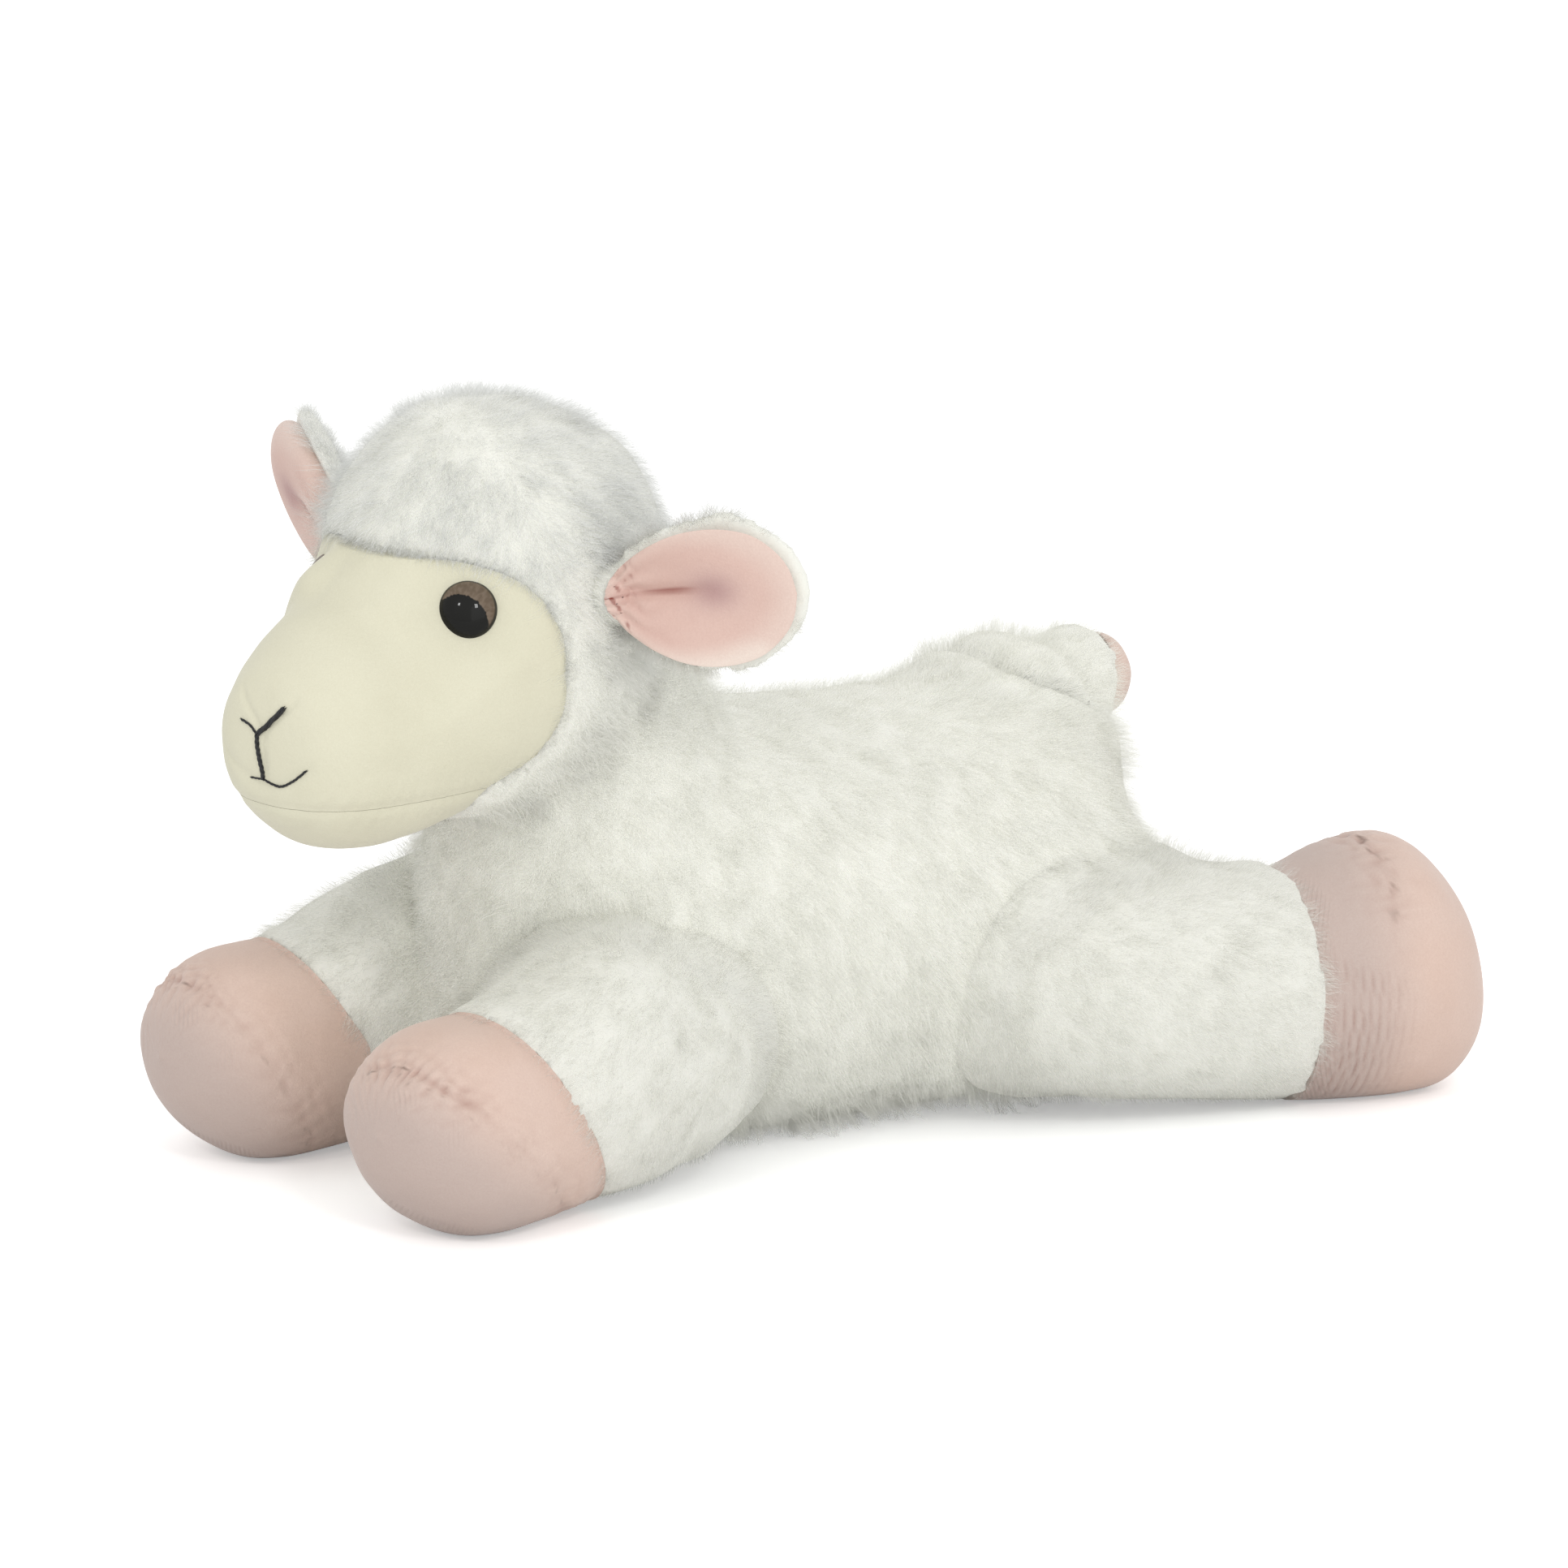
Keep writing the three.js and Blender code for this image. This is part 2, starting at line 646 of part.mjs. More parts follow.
function buildStitches(head) {
  const face = headForm(bodySteps, bodySides, 0);
  const arm = (side) => laidThread(face, [
    [0, noseHeight], [side * noseArmSpread / 2, (noseHeight + noseArmHeight) / 2],
    [side * noseArmSpread, noseArmHeight],
  ]);
  const lip = laidThread(face, [
    [left * lipSpread, lipHeight + lipRise], [left * lipSpread / 2, lipHeight - lipDip],
    [0, lipHeight], [right * lipSpread / 2, lipHeight - lipDip], [right * lipSpread, lipHeight + lipRise],
  ]);
  const fall = laidThread(face, [
    [0, noseHeight], [0, (noseHeight + lipHeight) / 2], [0, lipHeight - threadRadius / 2],
  ]);
  const nose = joined(arm(left), arm(right));
  const room = placed(ball(2 * threadRadius + seamGap), new THREE.Matrix4().setPosition(
    surfaceAt(face, new THREE.Vector3(-2 * headFront, 0, noseHeight), new THREE.Vector3(1, 0, 0)).point,
  ));
  add(head, "nose_stitch", nose, thread);
  add(head, "mouth_stitch", mainBody(cut(joined(lip, fall), room, nose)), thread);
}

// Ears: a wool back and a pink lining, gathered into a ball at the root
function buildEar(head, side, ending) {
  const root = groupAt(head, earBack, side * headHalfWidth * earRootShare, earHeight);
  const [roll, lift, sweep] = side === right
    ? [farEarRollAngle, farEarLiftAngle, farEarSweepAngle]
    : [0, earLiftAngle, earSweepAngle];
  const turns = [-side * roll, -lift, side * sweep].map(THREE.MathUtils.degToRad);
  root.rotation.set(...turns, "ZYX");
  lamb.updateMatrixWorld(true);
  const back = leaf({
    start: 0, length: earLength, halfWidth: earHalfHeight, halfThickness: earHalfThickness,
    curl: earCup, front: side, ahead: 0, shares: leafShares,
  });
  const front = leaf({
    start: liningInset, length: earLength - 2 * liningInset, halfWidth: liningHalfHeight,
    halfThickness: liningHalfThickness, curl: earCup, front: side,
    ahead: earHalfThickness + liningHalfThickness + seamGap, shares: leafShares,
  });
  const inEar = root.matrix.clone().invert();
  const hood = placed(headForm(coarseSteps, coarseSides, runGap), inEar);
  const axis = up.clone().transformDirection(inEar);
  const past = sweptPast(hood, new THREE.Vector3(), axis, -earSwing, earSwing);
  const cover = mainBody(joined(ball(earBall), cut(back, past)));
  const lining = mainBody(cut(front, past, ball(earBall + seamGap), grown(back, seamGap)));
  add(root, `ear_back_${ending}`, cover, wool);
  add(root, `ear_lining_${ending}`, lining, earFabric);
  return placed(ball(earBall + pocketGap), root.matrix);
}

function buildHead() {
  const neck = groupAt(lamb, -neckBack, 0, 0);
  neck.rotation.z = THREE.MathUtils.degToRad(headTurnAtRest);
  const head = groupAt(neck, -headReach, 0, headBase);
  lamb.updateMatrixWorld(true);
  const centre = new THREE.Vector3(headReach, 0, 0);
  const barrelPast = (distance) => sweptPast(
    inFrameOf(barrelForm(coarseSteps, coarseSides, distance), head), centre, up, -headTurnRight, headTurnLeft,
  );
  const past = (depth) => joined(inFrameOf(neckForm(pocketGap + depth), head), barrelPast(runGap + depth));
  const earPockets = [buildEar(head, left, "left"), buildEar(head, right, "right")];
  const seats = [[left, "left"], [right, "right"]].map(([side, ending]) => {
    const seat = eyeFrame(head, side);
    add(seat, `eye_${ending}`, eyeShape(), eyeGloss);
    add(seat, `eye_washer_${ending}`, washerShape(), washerPlastic);
    return new THREE.Matrix4().multiplyMatrices(seat.parent.matrix, seat.matrix);
  });
  const outer = headForm(bodySteps, bodySides, 0);
  const hollow = cut(headForm(coarseSteps, coarseSides, -skin), past(skin));
  const packing = cut(headForm(coarseSteps, coarseSides, -skin - fillGap), past(skin + fillGap));
  const eyeHoles = seats.map((seat) => placed(eyeHole(), seat));
  const washerRooms = seats.map((seat) => placed(
    stub(washerRadius + fillGap, -shankLength - 2 * fillGap, overrun), seat,
  ));
  const shell = cut(outer, hollow, ...earPockets, ...eyeHoles, past(0));
  const gap = seamGap / 2;
  add(head, "hood_cover", mainBody(cut(shell, facePrism(-gap), chinPrism(-gap))), wool);
  add(head, "face_panel", mainBody(common(shell, facePrism(gap))), faceFabric);
  add(head, "chin_panel", mainBody(common(shell, chinPrism(gap))), faceFabric);
  add(head, "head_filling", mainBody(cut(
    packing, ...washerRooms, ...earPockets.map((pocket) => grown(bareOf(pocket), fillGap)),
  )), fibre);
  buildStitches(head);
}

const pockets = [
  buildLeg(frontLeg, left, "front", "left"),
  buildLeg(frontLeg, right, "front", "right"),
  buildLeg(rearLeg, left, "rear", "left"),
  buildLeg(rearLeg, right, "rear", "right"),
  buildTail(),
];
buildBody(pockets);
buildHead();

export default lamb;
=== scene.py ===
"""A plush lamb lying on its belly: stuffed bags of curled white pile, with smooth face, ears and hooves."""

import logging
import math
from collections.abc import Callable, Iterator
from contextlib import contextmanager
from dataclasses import dataclass, field
from enum import Enum

import bpy
import numpy as np
from mathutils import Matrix, Vector
from mathutils.bvhtree import BVHTree


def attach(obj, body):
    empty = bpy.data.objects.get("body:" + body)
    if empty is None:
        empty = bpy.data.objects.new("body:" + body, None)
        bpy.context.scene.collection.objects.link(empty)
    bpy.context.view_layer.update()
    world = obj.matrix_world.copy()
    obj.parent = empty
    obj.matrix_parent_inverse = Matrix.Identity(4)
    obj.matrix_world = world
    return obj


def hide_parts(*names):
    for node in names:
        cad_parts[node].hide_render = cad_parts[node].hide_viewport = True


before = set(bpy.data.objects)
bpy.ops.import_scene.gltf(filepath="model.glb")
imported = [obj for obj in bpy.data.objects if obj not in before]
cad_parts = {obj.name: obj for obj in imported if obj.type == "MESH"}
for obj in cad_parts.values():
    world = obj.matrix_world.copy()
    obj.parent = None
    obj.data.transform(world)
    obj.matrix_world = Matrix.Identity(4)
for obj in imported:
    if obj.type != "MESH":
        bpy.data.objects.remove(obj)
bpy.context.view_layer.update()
LOG = logging.getLogger("lamb")
MM = 0.001
SAME_PLACE = 0.000001
INSIDE_WITHIN = 0.012
Array = np.ndarray
Chance = np.random.Generator
Piece = bpy.types.Object
Material = bpy.types.Material
Socket = bpy.types.NodeSocket
Spread = Callable[[Array], Array]
Measure = Callable[[Array, Array], Array]
Colour = tuple[float, float, float]


class Side(Enum):
    """The two sides of the lamb, as the sign of their Y."""

    LEFT = -1
    RIGHT = 1

    @property
    def word(self) -> str:
        """The ending that names of this side's pieces have."""
        return self.name.lower()


# Shading


class Value:
    """A number that changes over a surface, with Python's operators for its Math nodes."""

    def __init__(self, nodes: "Nodes", socket: Socket) -> None:
        """Keeps the socket and the nodes that it belongs to."""
        self.nodes = nodes
        self.socket = socket

    def math(self, operation: str, *others: "Value | float", first: "Value | float | None" = None) -> "Value":
        """One Math node.

        Args:
            operation: The Math node's operation.
            others: The other numbers, after this one.
            first: A number that takes the first place, ahead of this one.

        Returns:
            The node's result.
        """
        terms = [self, *others] if first is None else [first, self]
        return self.nodes.value("ShaderNodeMath", {"operation": operation}, dict(enumerate(terms)))

    def __add__(self, other: "Value | float") -> "Value":
        """Adds."""
        return self.math("ADD", other)

    __radd__ = __add__

    def __mul__(self, other: "Value | float") -> "Value":
        """Multiplies."""
        return self.math("MULTIPLY", other)

    __rmul__ = __mul__

    def __sub__(self, other: "Value | float") -> "Value":
        """Subtracts."""
        return self.math("SUBTRACT", other)

    def __rsub__(self, other: float) -> "Value":
        """Subtracts this from a number."""
        return self.math("SUBTRACT", first=other)

    def eased(self, low: float, high: float, start: float = 0.0, end: float = 1.0) -> "Value":
        """Runs smoothly from start at low to end at high.

        Args:
            low: The number at which the change starts.
            high: The number at which it ends.
            start: The result at low and below.
            end: The result at high and above.

        Returns:
            The eased number.
        """
        return self.nodes.value(
            "ShaderNodeMapRange", {"interpolation_type": "SMOOTHSTEP"},
            {"Value": self, "From Min": low, "From Max": high, "To Min": start, "To Max": end},
        )


class Nodes:
    """The nodes of one tree."""

    def __init__(self, tree: bpy.types.NodeTree) -> None:
        """Keeps the tree."""
        self.tree = tree

    def node(self, kind: str, settings: dict | None = None, inputs: dict | None = None) -> bpy.types.Node:
        """Adds any node.

        Args:
            kind: The node's type.
            settings: Its own settings, set before its sockets.
            inputs: The values or links of its sockets, by name or place.

        Returns:
            The node.
        """
        made = self.tree.nodes.new(kind)
        for key, setting in (settings or {}).items():
            setattr(made, key, setting)
        for key, given in (inputs or {}).items():
            self.join(given, made.inputs[key])
        return made

    def join(self, given: object, socket: Socket) -> None:
        """Links a value or socket to a socket, or sets the socket's own value."""
        if isinstance(given, Value):
            given = given.socket
        if isinstance(given, Socket):
            self.tree.links.new(given, socket)
        elif isinstance(given, tuple) and len(given) == 3 and socket.type == "RGBA":
            socket.default_value = (*given, 1)
        else:
            socket.default_value = given

    def value(self, kind: str, settings: dict, inputs: dict, output: int | str = 0) -> Value:
        """Adds a node and wraps one of its outputs."""
        return Value(self, self.node(kind, settings, inputs).outputs[output])


class Paint(Nodes):
    """The nodes of one material, with the places of a Mix node's two colours and of its result."""

    colour_sockets = (6, 7)
    colour_result = 2

    def __init__(self, name: str) -> None:
        """Starts a material with one Principled shader."""
        self.material = bpy.data.materials.new(name)
        self.material.use_nodes = True
        super().__init__(self.material.node_tree)
        self.shader = self.tree.nodes["Principled BSDF"]

    def place(self, scale: float) -> Socket:
        """Object coordinates in units of scale metres."""
        where = self.node("ShaderNodeTexCoord").outputs["Object"]
        size = (1 / scale, 1 / scale, 1 / scale)
        return self.node("ShaderNodeMapping", inputs={"Vector": where, "Scale": size}).outputs[0]

    def noise(self, scale: float, detail: float = 3.0, rough: float = 0.55) -> Value:
        """Soft noise whose lumps are about scale metres across."""
        return self.value("ShaderNodeTexNoise", {}, {
            "Vector": self.place(scale), "Scale": 1.0, "Detail": detail, "Roughness": rough,
        })

    def layer(self, name: str, part: int = 0) -> Value:
        """One number of a layer that the mesh carries."""
        kept = self.node("ShaderNodeAttribute", {"attribute_name": name}).outputs["Vector"]
        return self.value("ShaderNodeSeparateXYZ", {}, {0: kept}, part)

    def blend(self, share: Value | float, first: object, second: object) -> Socket:
        """Mixes two colours.

        Args:
            share: How much of the second colour shows.
            first: A colour or its socket.
            second: The other.

        Returns:
            The mixed colour's socket.
        """
        made = self.node("ShaderNodeMix", {"data_type": "RGBA"}, {0: share})
        for place, colour in zip(self.colour_sockets, (first, second)):
            self.join(colour, made.inputs[place])
        return made.outputs[self.colour_result]

    def bump(self, height: Value, depth: float) -> None:
        """Feeds the shader's Normal from a height, whose unit is depth metres."""
        made = self.node("ShaderNodeBump", {}, {"Height": height, "Distance": depth, "Strength": 1.0})
        self.join(made.outputs[0], self.shader.inputs["Normal"])

    def finish(self, **sockets: object) -> Material:
        """Sets the shader's sockets.

        Args:
            sockets: Values or links by socket name, with _ for a space.

        Returns:
            The material.
        """
        for name, given in sockets.items():
            self.join(given, self.shader.inputs[name.replace("_", " ")])
        return self.material

@dataclass(frozen=True)
class PileFinish:
    """Curled white pile, cream at its roots, with painted shade greying its top and darkening it near the
    ground. Its heights and their drift are in millimetres.
    """

    name: str = "wool_strands"
    root: Colour = (0.8, 0.797, 0.735)
    tip: Colour = (0.82, 0.82, 0.758)
    # Painted shade: the darker grey of the tips on the lamb's upper side, between the heights in upper.
    cool: Colour = (0.74, 0.75, 0.732)
    # Painted shade: the slightly darker colour of the tips near the ground, between the heights in lower.
    low: Colour = (0.8, 0.8, 0.74)
    shadow: Colour = (0.807, 0.807, 0.745)
    upper: tuple[float, float] = (78.0, 116.0)
    lower: tuple[float, float] = (34.0, 4.0)
    patch: float = 0.03
    drift: float = 14.0
    cover: float = 0.3

    def material(self) -> Material:
        """Returns the strands' material, which reads their place along and their own shade."""
        paint = Paint(self.name)
        own, along = paint.layer("strand"), paint.layer("strand", 1)
        height = paint.value("ShaderNodeSeparateXYZ", {}, {0: paint.place(MM)}, 2)
        drift = paint.noise(self.patch, 2.0) * self.drift
        # Painted shade: the tips grey towards the top of the lamb and darken towards the ground.
        upper = paint.blend((height + drift).eased(*self.upper), self.tip, self.cool)
        body = paint.blend((height + drift).eased(*self.lower), upper, self.low)
        colour = paint.blend(along.eased(0.0, 0.5, 0.7, 0.0), body, self.root)
        shade = paint.blend(own.eased(0.55, 1.0, 0.0, 0.3), colour, self.shadow)
        return paint.finish(
            Base_Color=shade, Roughness=0.8, Sheen_Weight=0.15, Sheen_Roughness=0.5, Alpha=self.cover,
        )


@dataclass(frozen=True)
class BackingFinish:
    """The dense lower part of the pile, which shows between the strands. A tuft's size is in metres."""

    name: str = "wool_backing"
    light: Colour = (0.81, 0.81, 0.748)
    dark: Colour = (0.805, 0.805, 0.738)
    tuft: float = 0.0022
    relief: float = 0.0002

    def material(self) -> Material:
        """Returns the backing's material."""
        paint = Paint(self.name)
        tufts = paint.noise(self.tuft, 4.0, 0.6)
        colour = paint.blend(tufts.eased(0.35, 0.62), self.dark, self.light)
        paint.bump(tufts, self.relief)
        return paint.finish(Base_Color=colour, Roughness=0.95, Sheen_Weight=0.15)


@dataclass(frozen=True)
class VelourFinish:
    """Smooth short pile in a drifting colour, with painted shade in the valleys of its gathers. Its sizes are
    in metres.
    """

    name: str
    light: Colour
    deep: Colour
    crease: Colour
    sole: Colour
    line: Colour = (0.12, 0.07, 0.05)
    ribs: float = 0.0
    pale: Colour | None = None
    patch: float = 0.014
    fibre: float = 0.00035
    nap: float = 0.0011
    relief: float = 0.00012
    speck: float = 0.35
    shade: float = 0.85

    def material(self) -> Material:
        """Returns the velour's material, which reads the mesh's gather layer.

        Returns:
            The material. The layer holds the valleys' painted shade, the other panel's share and the sharp
            dark lines.
        """
        paint = Paint(self.name)
        valley, panel, line = (paint.layer("gather", part) for part in range(3))
        drift = paint.noise(self.patch, 3.0)
        fibres = paint.noise(self.fibre, 3.0, 0.7)
        colour = paint.blend(drift.eased(0.3, 0.72), self.light, self.deep)
        if self.pale:
            colour = paint.blend(paint.layer("pale"), colour, self.pale)
        # The other panel's colour; on the ears it is a painted shadow at the fold's end.
        colour = paint.blend(panel, colour, self.sole)
        colour = paint.blend((fibres - 0.5) * self.speck + 0.08, colour, self.crease)
        # Painted shade: the valleys darken towards the crease colour.
        colour = paint.blend(valley * self.shade, colour, self.crease)
        # The sharp dark lines: seams on the hoofs and the tail, painted shade along the face's brow and in
        # the ears' fold.
        colour = paint.blend(line, colour, self.line)
        height = fibres * 0.5 + paint.noise(self.nap, 2.0) * 0.5
        if self.ribs:
            height = height + self.rib(paint) * self.ribs
        paint.bump(height, self.relief)
        return paint.finish(
            Base_Color=colour, Roughness=0.82, Sheen_Weight=0.25, Sheen_Roughness=0.4, Specular_IOR_Level=0.3,
        )

    def rib(self, paint: Paint) -> Value:
        """Fine ribs where the mesh's weave layer says, which holds their phase and how strong they are."""
        return paint.layer("weave").math("SINE") * paint.layer("weave", 1)


@dataclass(frozen=True)
class EyeFinish:
    """A domed button: a dark rim and pupil round a brown iris, under clear gloss. Lengths are in radii."""

    name: str = "eye_button"
    pupil: Colour = (0.006, 0.006, 0.005)
    brown: Colour = (0.12, 0.088, 0.06)
    pale: Colour = (0.165, 0.125, 0.09)
    offset: tuple[float, float] = (0.33, 0.6)
    pupil_edge: tuple[float, float] = (1.08, 1.13)
    rim_edge: tuple[float, float] = (0.88, 0.96)
    spokes: tuple[float, float] = (3.2, 1.4)

    def material(self) -> Material:
        """Returns the button's material, which reads the disc layer: away from the nose, and up."""
        paint = Paint(self.name)
        across, rise = paint.layer("disc"), paint.layer("disc", 1)
        near, high = across + self.offset[0], rise + self.offset[1]
        pupil = (near * near + high * high).math("SQRT")
        rim = (across * across + rise * rise).math("SQRT")
        turn = high.math("ARCTAN2", near)
        around, outwards = self.spokes
        spoke = paint.node("ShaderNodeCombineXYZ", inputs={0: turn * around, 1: pupil * outwards})
        rays = paint.value("ShaderNodeTexNoise", {"noise_dimensions": "2D"}, {
            "Vector": spoke.outputs[0], "Scale": 3.0, "Detail": 3.0,
        })
        iris = paint.blend(rays.eased(0.35, 0.7), self.brown, self.pale)
        iris = paint.blend((pupil + rays * 0.12).eased(*self.pupil_edge, 1.0, 0.0), iris, self.pupil)
        iris = paint.blend(rim.eased(*self.rim_edge), iris, self.pupil)
        return paint.finish(
            Base_Color=iris, Roughness=0.4, Coat_Weight=0.32, Coat_Roughness=0.02, Specular_IOR_Level=0.05,
        )


@dataclass(frozen=True)
class PlainFinish:
    """A plain moulded, woven or fibrous surface. Its grain and depth are in metres."""

    name: str
    light: Colour
    dark: Colour
    grain: float
    roughness: float
    depth: float

    def material(self) -> Material:
        """Returns the material."""
        paint = Paint(self.name)
        grain = paint.noise(self.grain, 4.0, 0.6)
        paint.bump(grain, self.depth)
        colour = paint.blend(grain.eased(0.3, 0.7), self.dark, self.light)
        return paint.finish(Base_Color=colour, Roughness=self.roughness)


# Modelling


def pick(*pieces: Piece) -> Piece:
    """Selects these pieces alone, the first of them active."""
    bpy.ops.object.select_all(action="DESELECT")
    for piece in pieces:
        piece.select_set(True)
    bpy.context.view_layer.objects.active = pieces[0]
    return pieces[0]


def renamed(name: str) -> Piece:
    """Gives the active object and its mesh a name."""
    piece = bpy.context.object
    piece.name = name
    piece.data.name = name
    return piece


def modify(piece: Piece, kind: str, **settings: object) -> None:
    """Adds a modifier, sets it and applies it.

    Args:
        piece: The object that takes it.
        kind: The modifier's type.
        settings: Its settings.
    """
    pick(piece)
    modifier = piece.modifiers.new(kind.lower(), kind)
    for key, setting in settings.items():
        setattr(modifier, key, setting)
    bpy.ops.object.modifier_apply(modifier=modifier.name)


def read(piece: Piece) -> tuple[Array, Array]:
    """The places and normals of a mesh's vertices, in millimetres and as units."""
    mesh = piece.data
    places = np.empty(len(mesh.vertices) * 3, np.float32)
    normals = np.empty(len(mesh.vertices) * 3, np.float32)
    mesh.vertices.foreach_get("co", places)
    mesh.vertex_normals.foreach_get("vector", normals)
    return places.reshape(-1, 3).astype(float) / MM, normals.reshape(-1, 3).astype(float)


def write(piece: Piece, places: Array) -> None:
    """Moves a mesh's vertices to places in millimetres."""
    piece.data.vertices.foreach_set("co", (np.asarray(places) * MM).astype(np.float32).ravel())
    piece.data.update()


def keep_layer(piece: Piece, name: str, numbers: Array) -> None:
    """Stores three numbers a vertex as a layer that the material reads."""
    layer = piece.data.attributes.new(name, "FLOAT_VECTOR", "POINT")
    layer.data.foreach_set("vector", np.asarray(numbers, np.float32).ravel())


@contextmanager
def editing(piece: Piece) -> Iterator[None]:
    """Holds a piece in edit mode, with the whole of it selected."""
    pick(piece)
    bpy.ops.object.mode_set(mode="EDIT")
    bpy.ops.mesh.select_all(action="SELECT")
    yield
    bpy.ops.object.mode_set(mode="OBJECT")


def closed(piece: Piece, angle: float = 60.0) -> Piece:
    """Turns a closed mesh's faces outwards and smooths its shading.

    Args:
        piece: The object.
        angle: Edges sharper than this many degrees stay sharp.

    Returns:
        The same object.
    """
    with editing(piece):
        bpy.ops.mesh.remove_doubles(threshold=SAME_PLACE)
        bpy.ops.mesh.normals_make_consistent(inside=False)
    bpy.ops.object.shade_smooth_by_angle(angle=math.radians(angle))
    return piece


def cut(piece: Piece, at: tuple[float, float, float], way: tuple[float, float, float]) -> None:
    """Cuts a piece with a plane and closes it there.

    Args:
        piece: The piece, in its own frame.
        at: A point of the plane, in millimetres.
        way: The plane's normal, towards what is cut off.
    """
    with editing(piece):
        middle = [part * MM for part in at]
        bpy.ops.mesh.bisect(plane_co=middle, plane_no=way, use_fill=True, clear_outer=True)


def waves(places: Array, length: float, seed: int, count: int = 7) -> Array:
    """Smooth unevenness between about -1 and 1.

    Args:
        places: Points in millimetres.
        length: The length of a wave, in millimetres.
        seed: Which of many patterns it is.
        count: How many waves cross each other.

    Returns:
        One number a point.
    """
    chance = np.random.default_rng(seed)
    ways = chance.normal(size=(count, 3))
    ways /= np.linalg.norm(ways, axis=1, keepdims=True)
    turns = 2 * math.pi / (length * chance.uniform(0.7, 1.5, count))
    phase = chance.uniform(0, 2 * math.pi, count)
    return np.sin(places @ (ways * turns[:, None]).T + phase).sum(axis=1) / math.sqrt(count)


def bell(distance: Array, width: float) -> Array:
    """One at no distance, fading within a width."""
    return np.exp(-((distance / width) ** 2))


def eased(value: Array, low: float, high: float) -> Array:
    """Runs smoothly from 0 at low to 1 at high."""
    share = np.clip((value - low) / (high - low), 0, 1)
    return share * share * (3 - 2 * share)


def unit(ways: Array) -> Array:
    """Gives each direction, along the last axis, the length of one."""
    return ways / np.maximum(np.linalg.norm(ways, axis=-1, keepdims=True), 1e-6)


def row_at(rows: Array, share: Array) -> Array:
    """Reads a table of rows at shares of its length, along a smooth curve through the rows."""
    place = share * (len(rows) - 1)
    start = np.clip(np.floor(place).astype(int), 0, len(rows) - 2)
    t = (place - start)[:, None]
    a, b, c, d = (rows[np.clip(start + step, 0, len(rows) - 1)] for step in (-1, 0, 1, 2))
    rise, fall, step = (c - a) / 2, (d - b) / 2, c - b
    return b + t * (rise + t * (3 * step - 2 * rise - fall + t * (rise + fall - 2 * step)))


def rounded(value: Array, fullness: float = 2.12) -> Array:
    """Squares a circle a little, as stuffing does."""
    return np.sign(value) * np.abs(value) ** (2 / fullness)


@dataclass
class StuffedForm:
    """A sewn bag along X, lengths in millimetres.

    Attributes:
        base: The height of its underside.
        height: How high it rises above that.
        rows: Shares, row by row along it: along, half width, top, underside and how much its top narrows.
    """

    start: float
    length: float
    half_width: float
    base: float
    height: float
    rows: tuple

    def at(self, share: Array, turn: Array) -> Array:
        """Points of the bag's surface.

        Args:
            share: Places along the table, from 0 to 1.
            turn: Angles round the bag, in radians.

        Returns:
            The points, in millimetres in the bag's own frame.
        """
        along, half, top, under, narrowing = row_at(np.array(self.rows, float), share).T
        taper = 1 - narrowing * np.maximum(np.sin(turn), 0)
        across = np.maximum(half, 0) * self.half_width * taper * rounded(np.cos(turn))
        rise = (top + under) / 2 + (top - under) / 2 * rounded(np.sin(turn))
        return np.stack([self.start + along * self.length, across, self.base + rise * self.height], axis=1)


@dataclass
class LeafForm:
    """A gathered leaf along X that stands in Z, lengths in millimetres.

    Attributes:
        curl: How far its edges curl to its front.
        front: The sign of Y on its front.
        ahead: How far its middle lies ahead of X.
        rows: Shares, row by row along it: along, half width, thickness and curl.
    """

    start: float
    length: float
    half_width: float
    half_thickness: float
    curl: float
    front: float
    ahead: float
    rows: tuple

    def at(self, share: Array, turn: Array) -> Array:
        """Points of the leaf's surface, as StuffedForm.at gives them."""
        along, half, thick, curled = row_at(np.array(self.rows, float), share).T
        height = np.cos(turn) * np.maximum(half, 0)
        depth = self.ahead + self.half_thickness * np.maximum(thick, 0) * np.sin(turn)
        depth = depth + self.curl * curled * height**2
        ahead = self.start + along * self.length
        return np.stack([ahead, self.front * depth, height * self.half_width], axis=1)


def sewn(name: str, form: StuffedForm | LeafForm, sides: int, rings: int) -> Piece:
    """Adds a ball and draws it over a form.

    Args:
        name: The piece's name.
        form: The form, in its own frame.
        sides: Faces round it.
        rings: Faces along it.

    Returns:
        The closed mesh, still in the form's own frame.
    """
    bpy.ops.object.select_all(action="DESELECT")
    bpy.ops.mesh.primitive_uv_sphere_add(segments=sides, ring_count=rings, radius=1.0, calc_uvs=True)
    piece = renamed(name)
    places = read(piece)[0] * MM
    share = np.arccos(np.clip(places[:, 2], -1, 1)) / math.pi
    write(piece, form.at(share, np.arctan2(places[:, 1], places[:, 0])))
    return closed(piece, 75)


def turned(ways: Array, place: Matrix) -> Array:
    """Directions of a frame of their own, as the lamb's frame sees them."""
    return ways @ np.array(place)[:3, :3].T


def within(places: Array, place: Matrix) -> Array:
    """Places of the lamb's frame, as a frame of its own sees them, in millimetres."""
    inverse = np.array(place.inverted())
    return places @ inverse[:3, :3].T + inverse[:3, 3]


def moved(piece: Piece, place: Matrix) -> Piece:
    """Moves a mesh from its own frame to the lamb's, whose matrix is in millimetres."""
    write(piece, turned(read(piece)[0], place) + np.array(place)[:3, 3])
    return piece


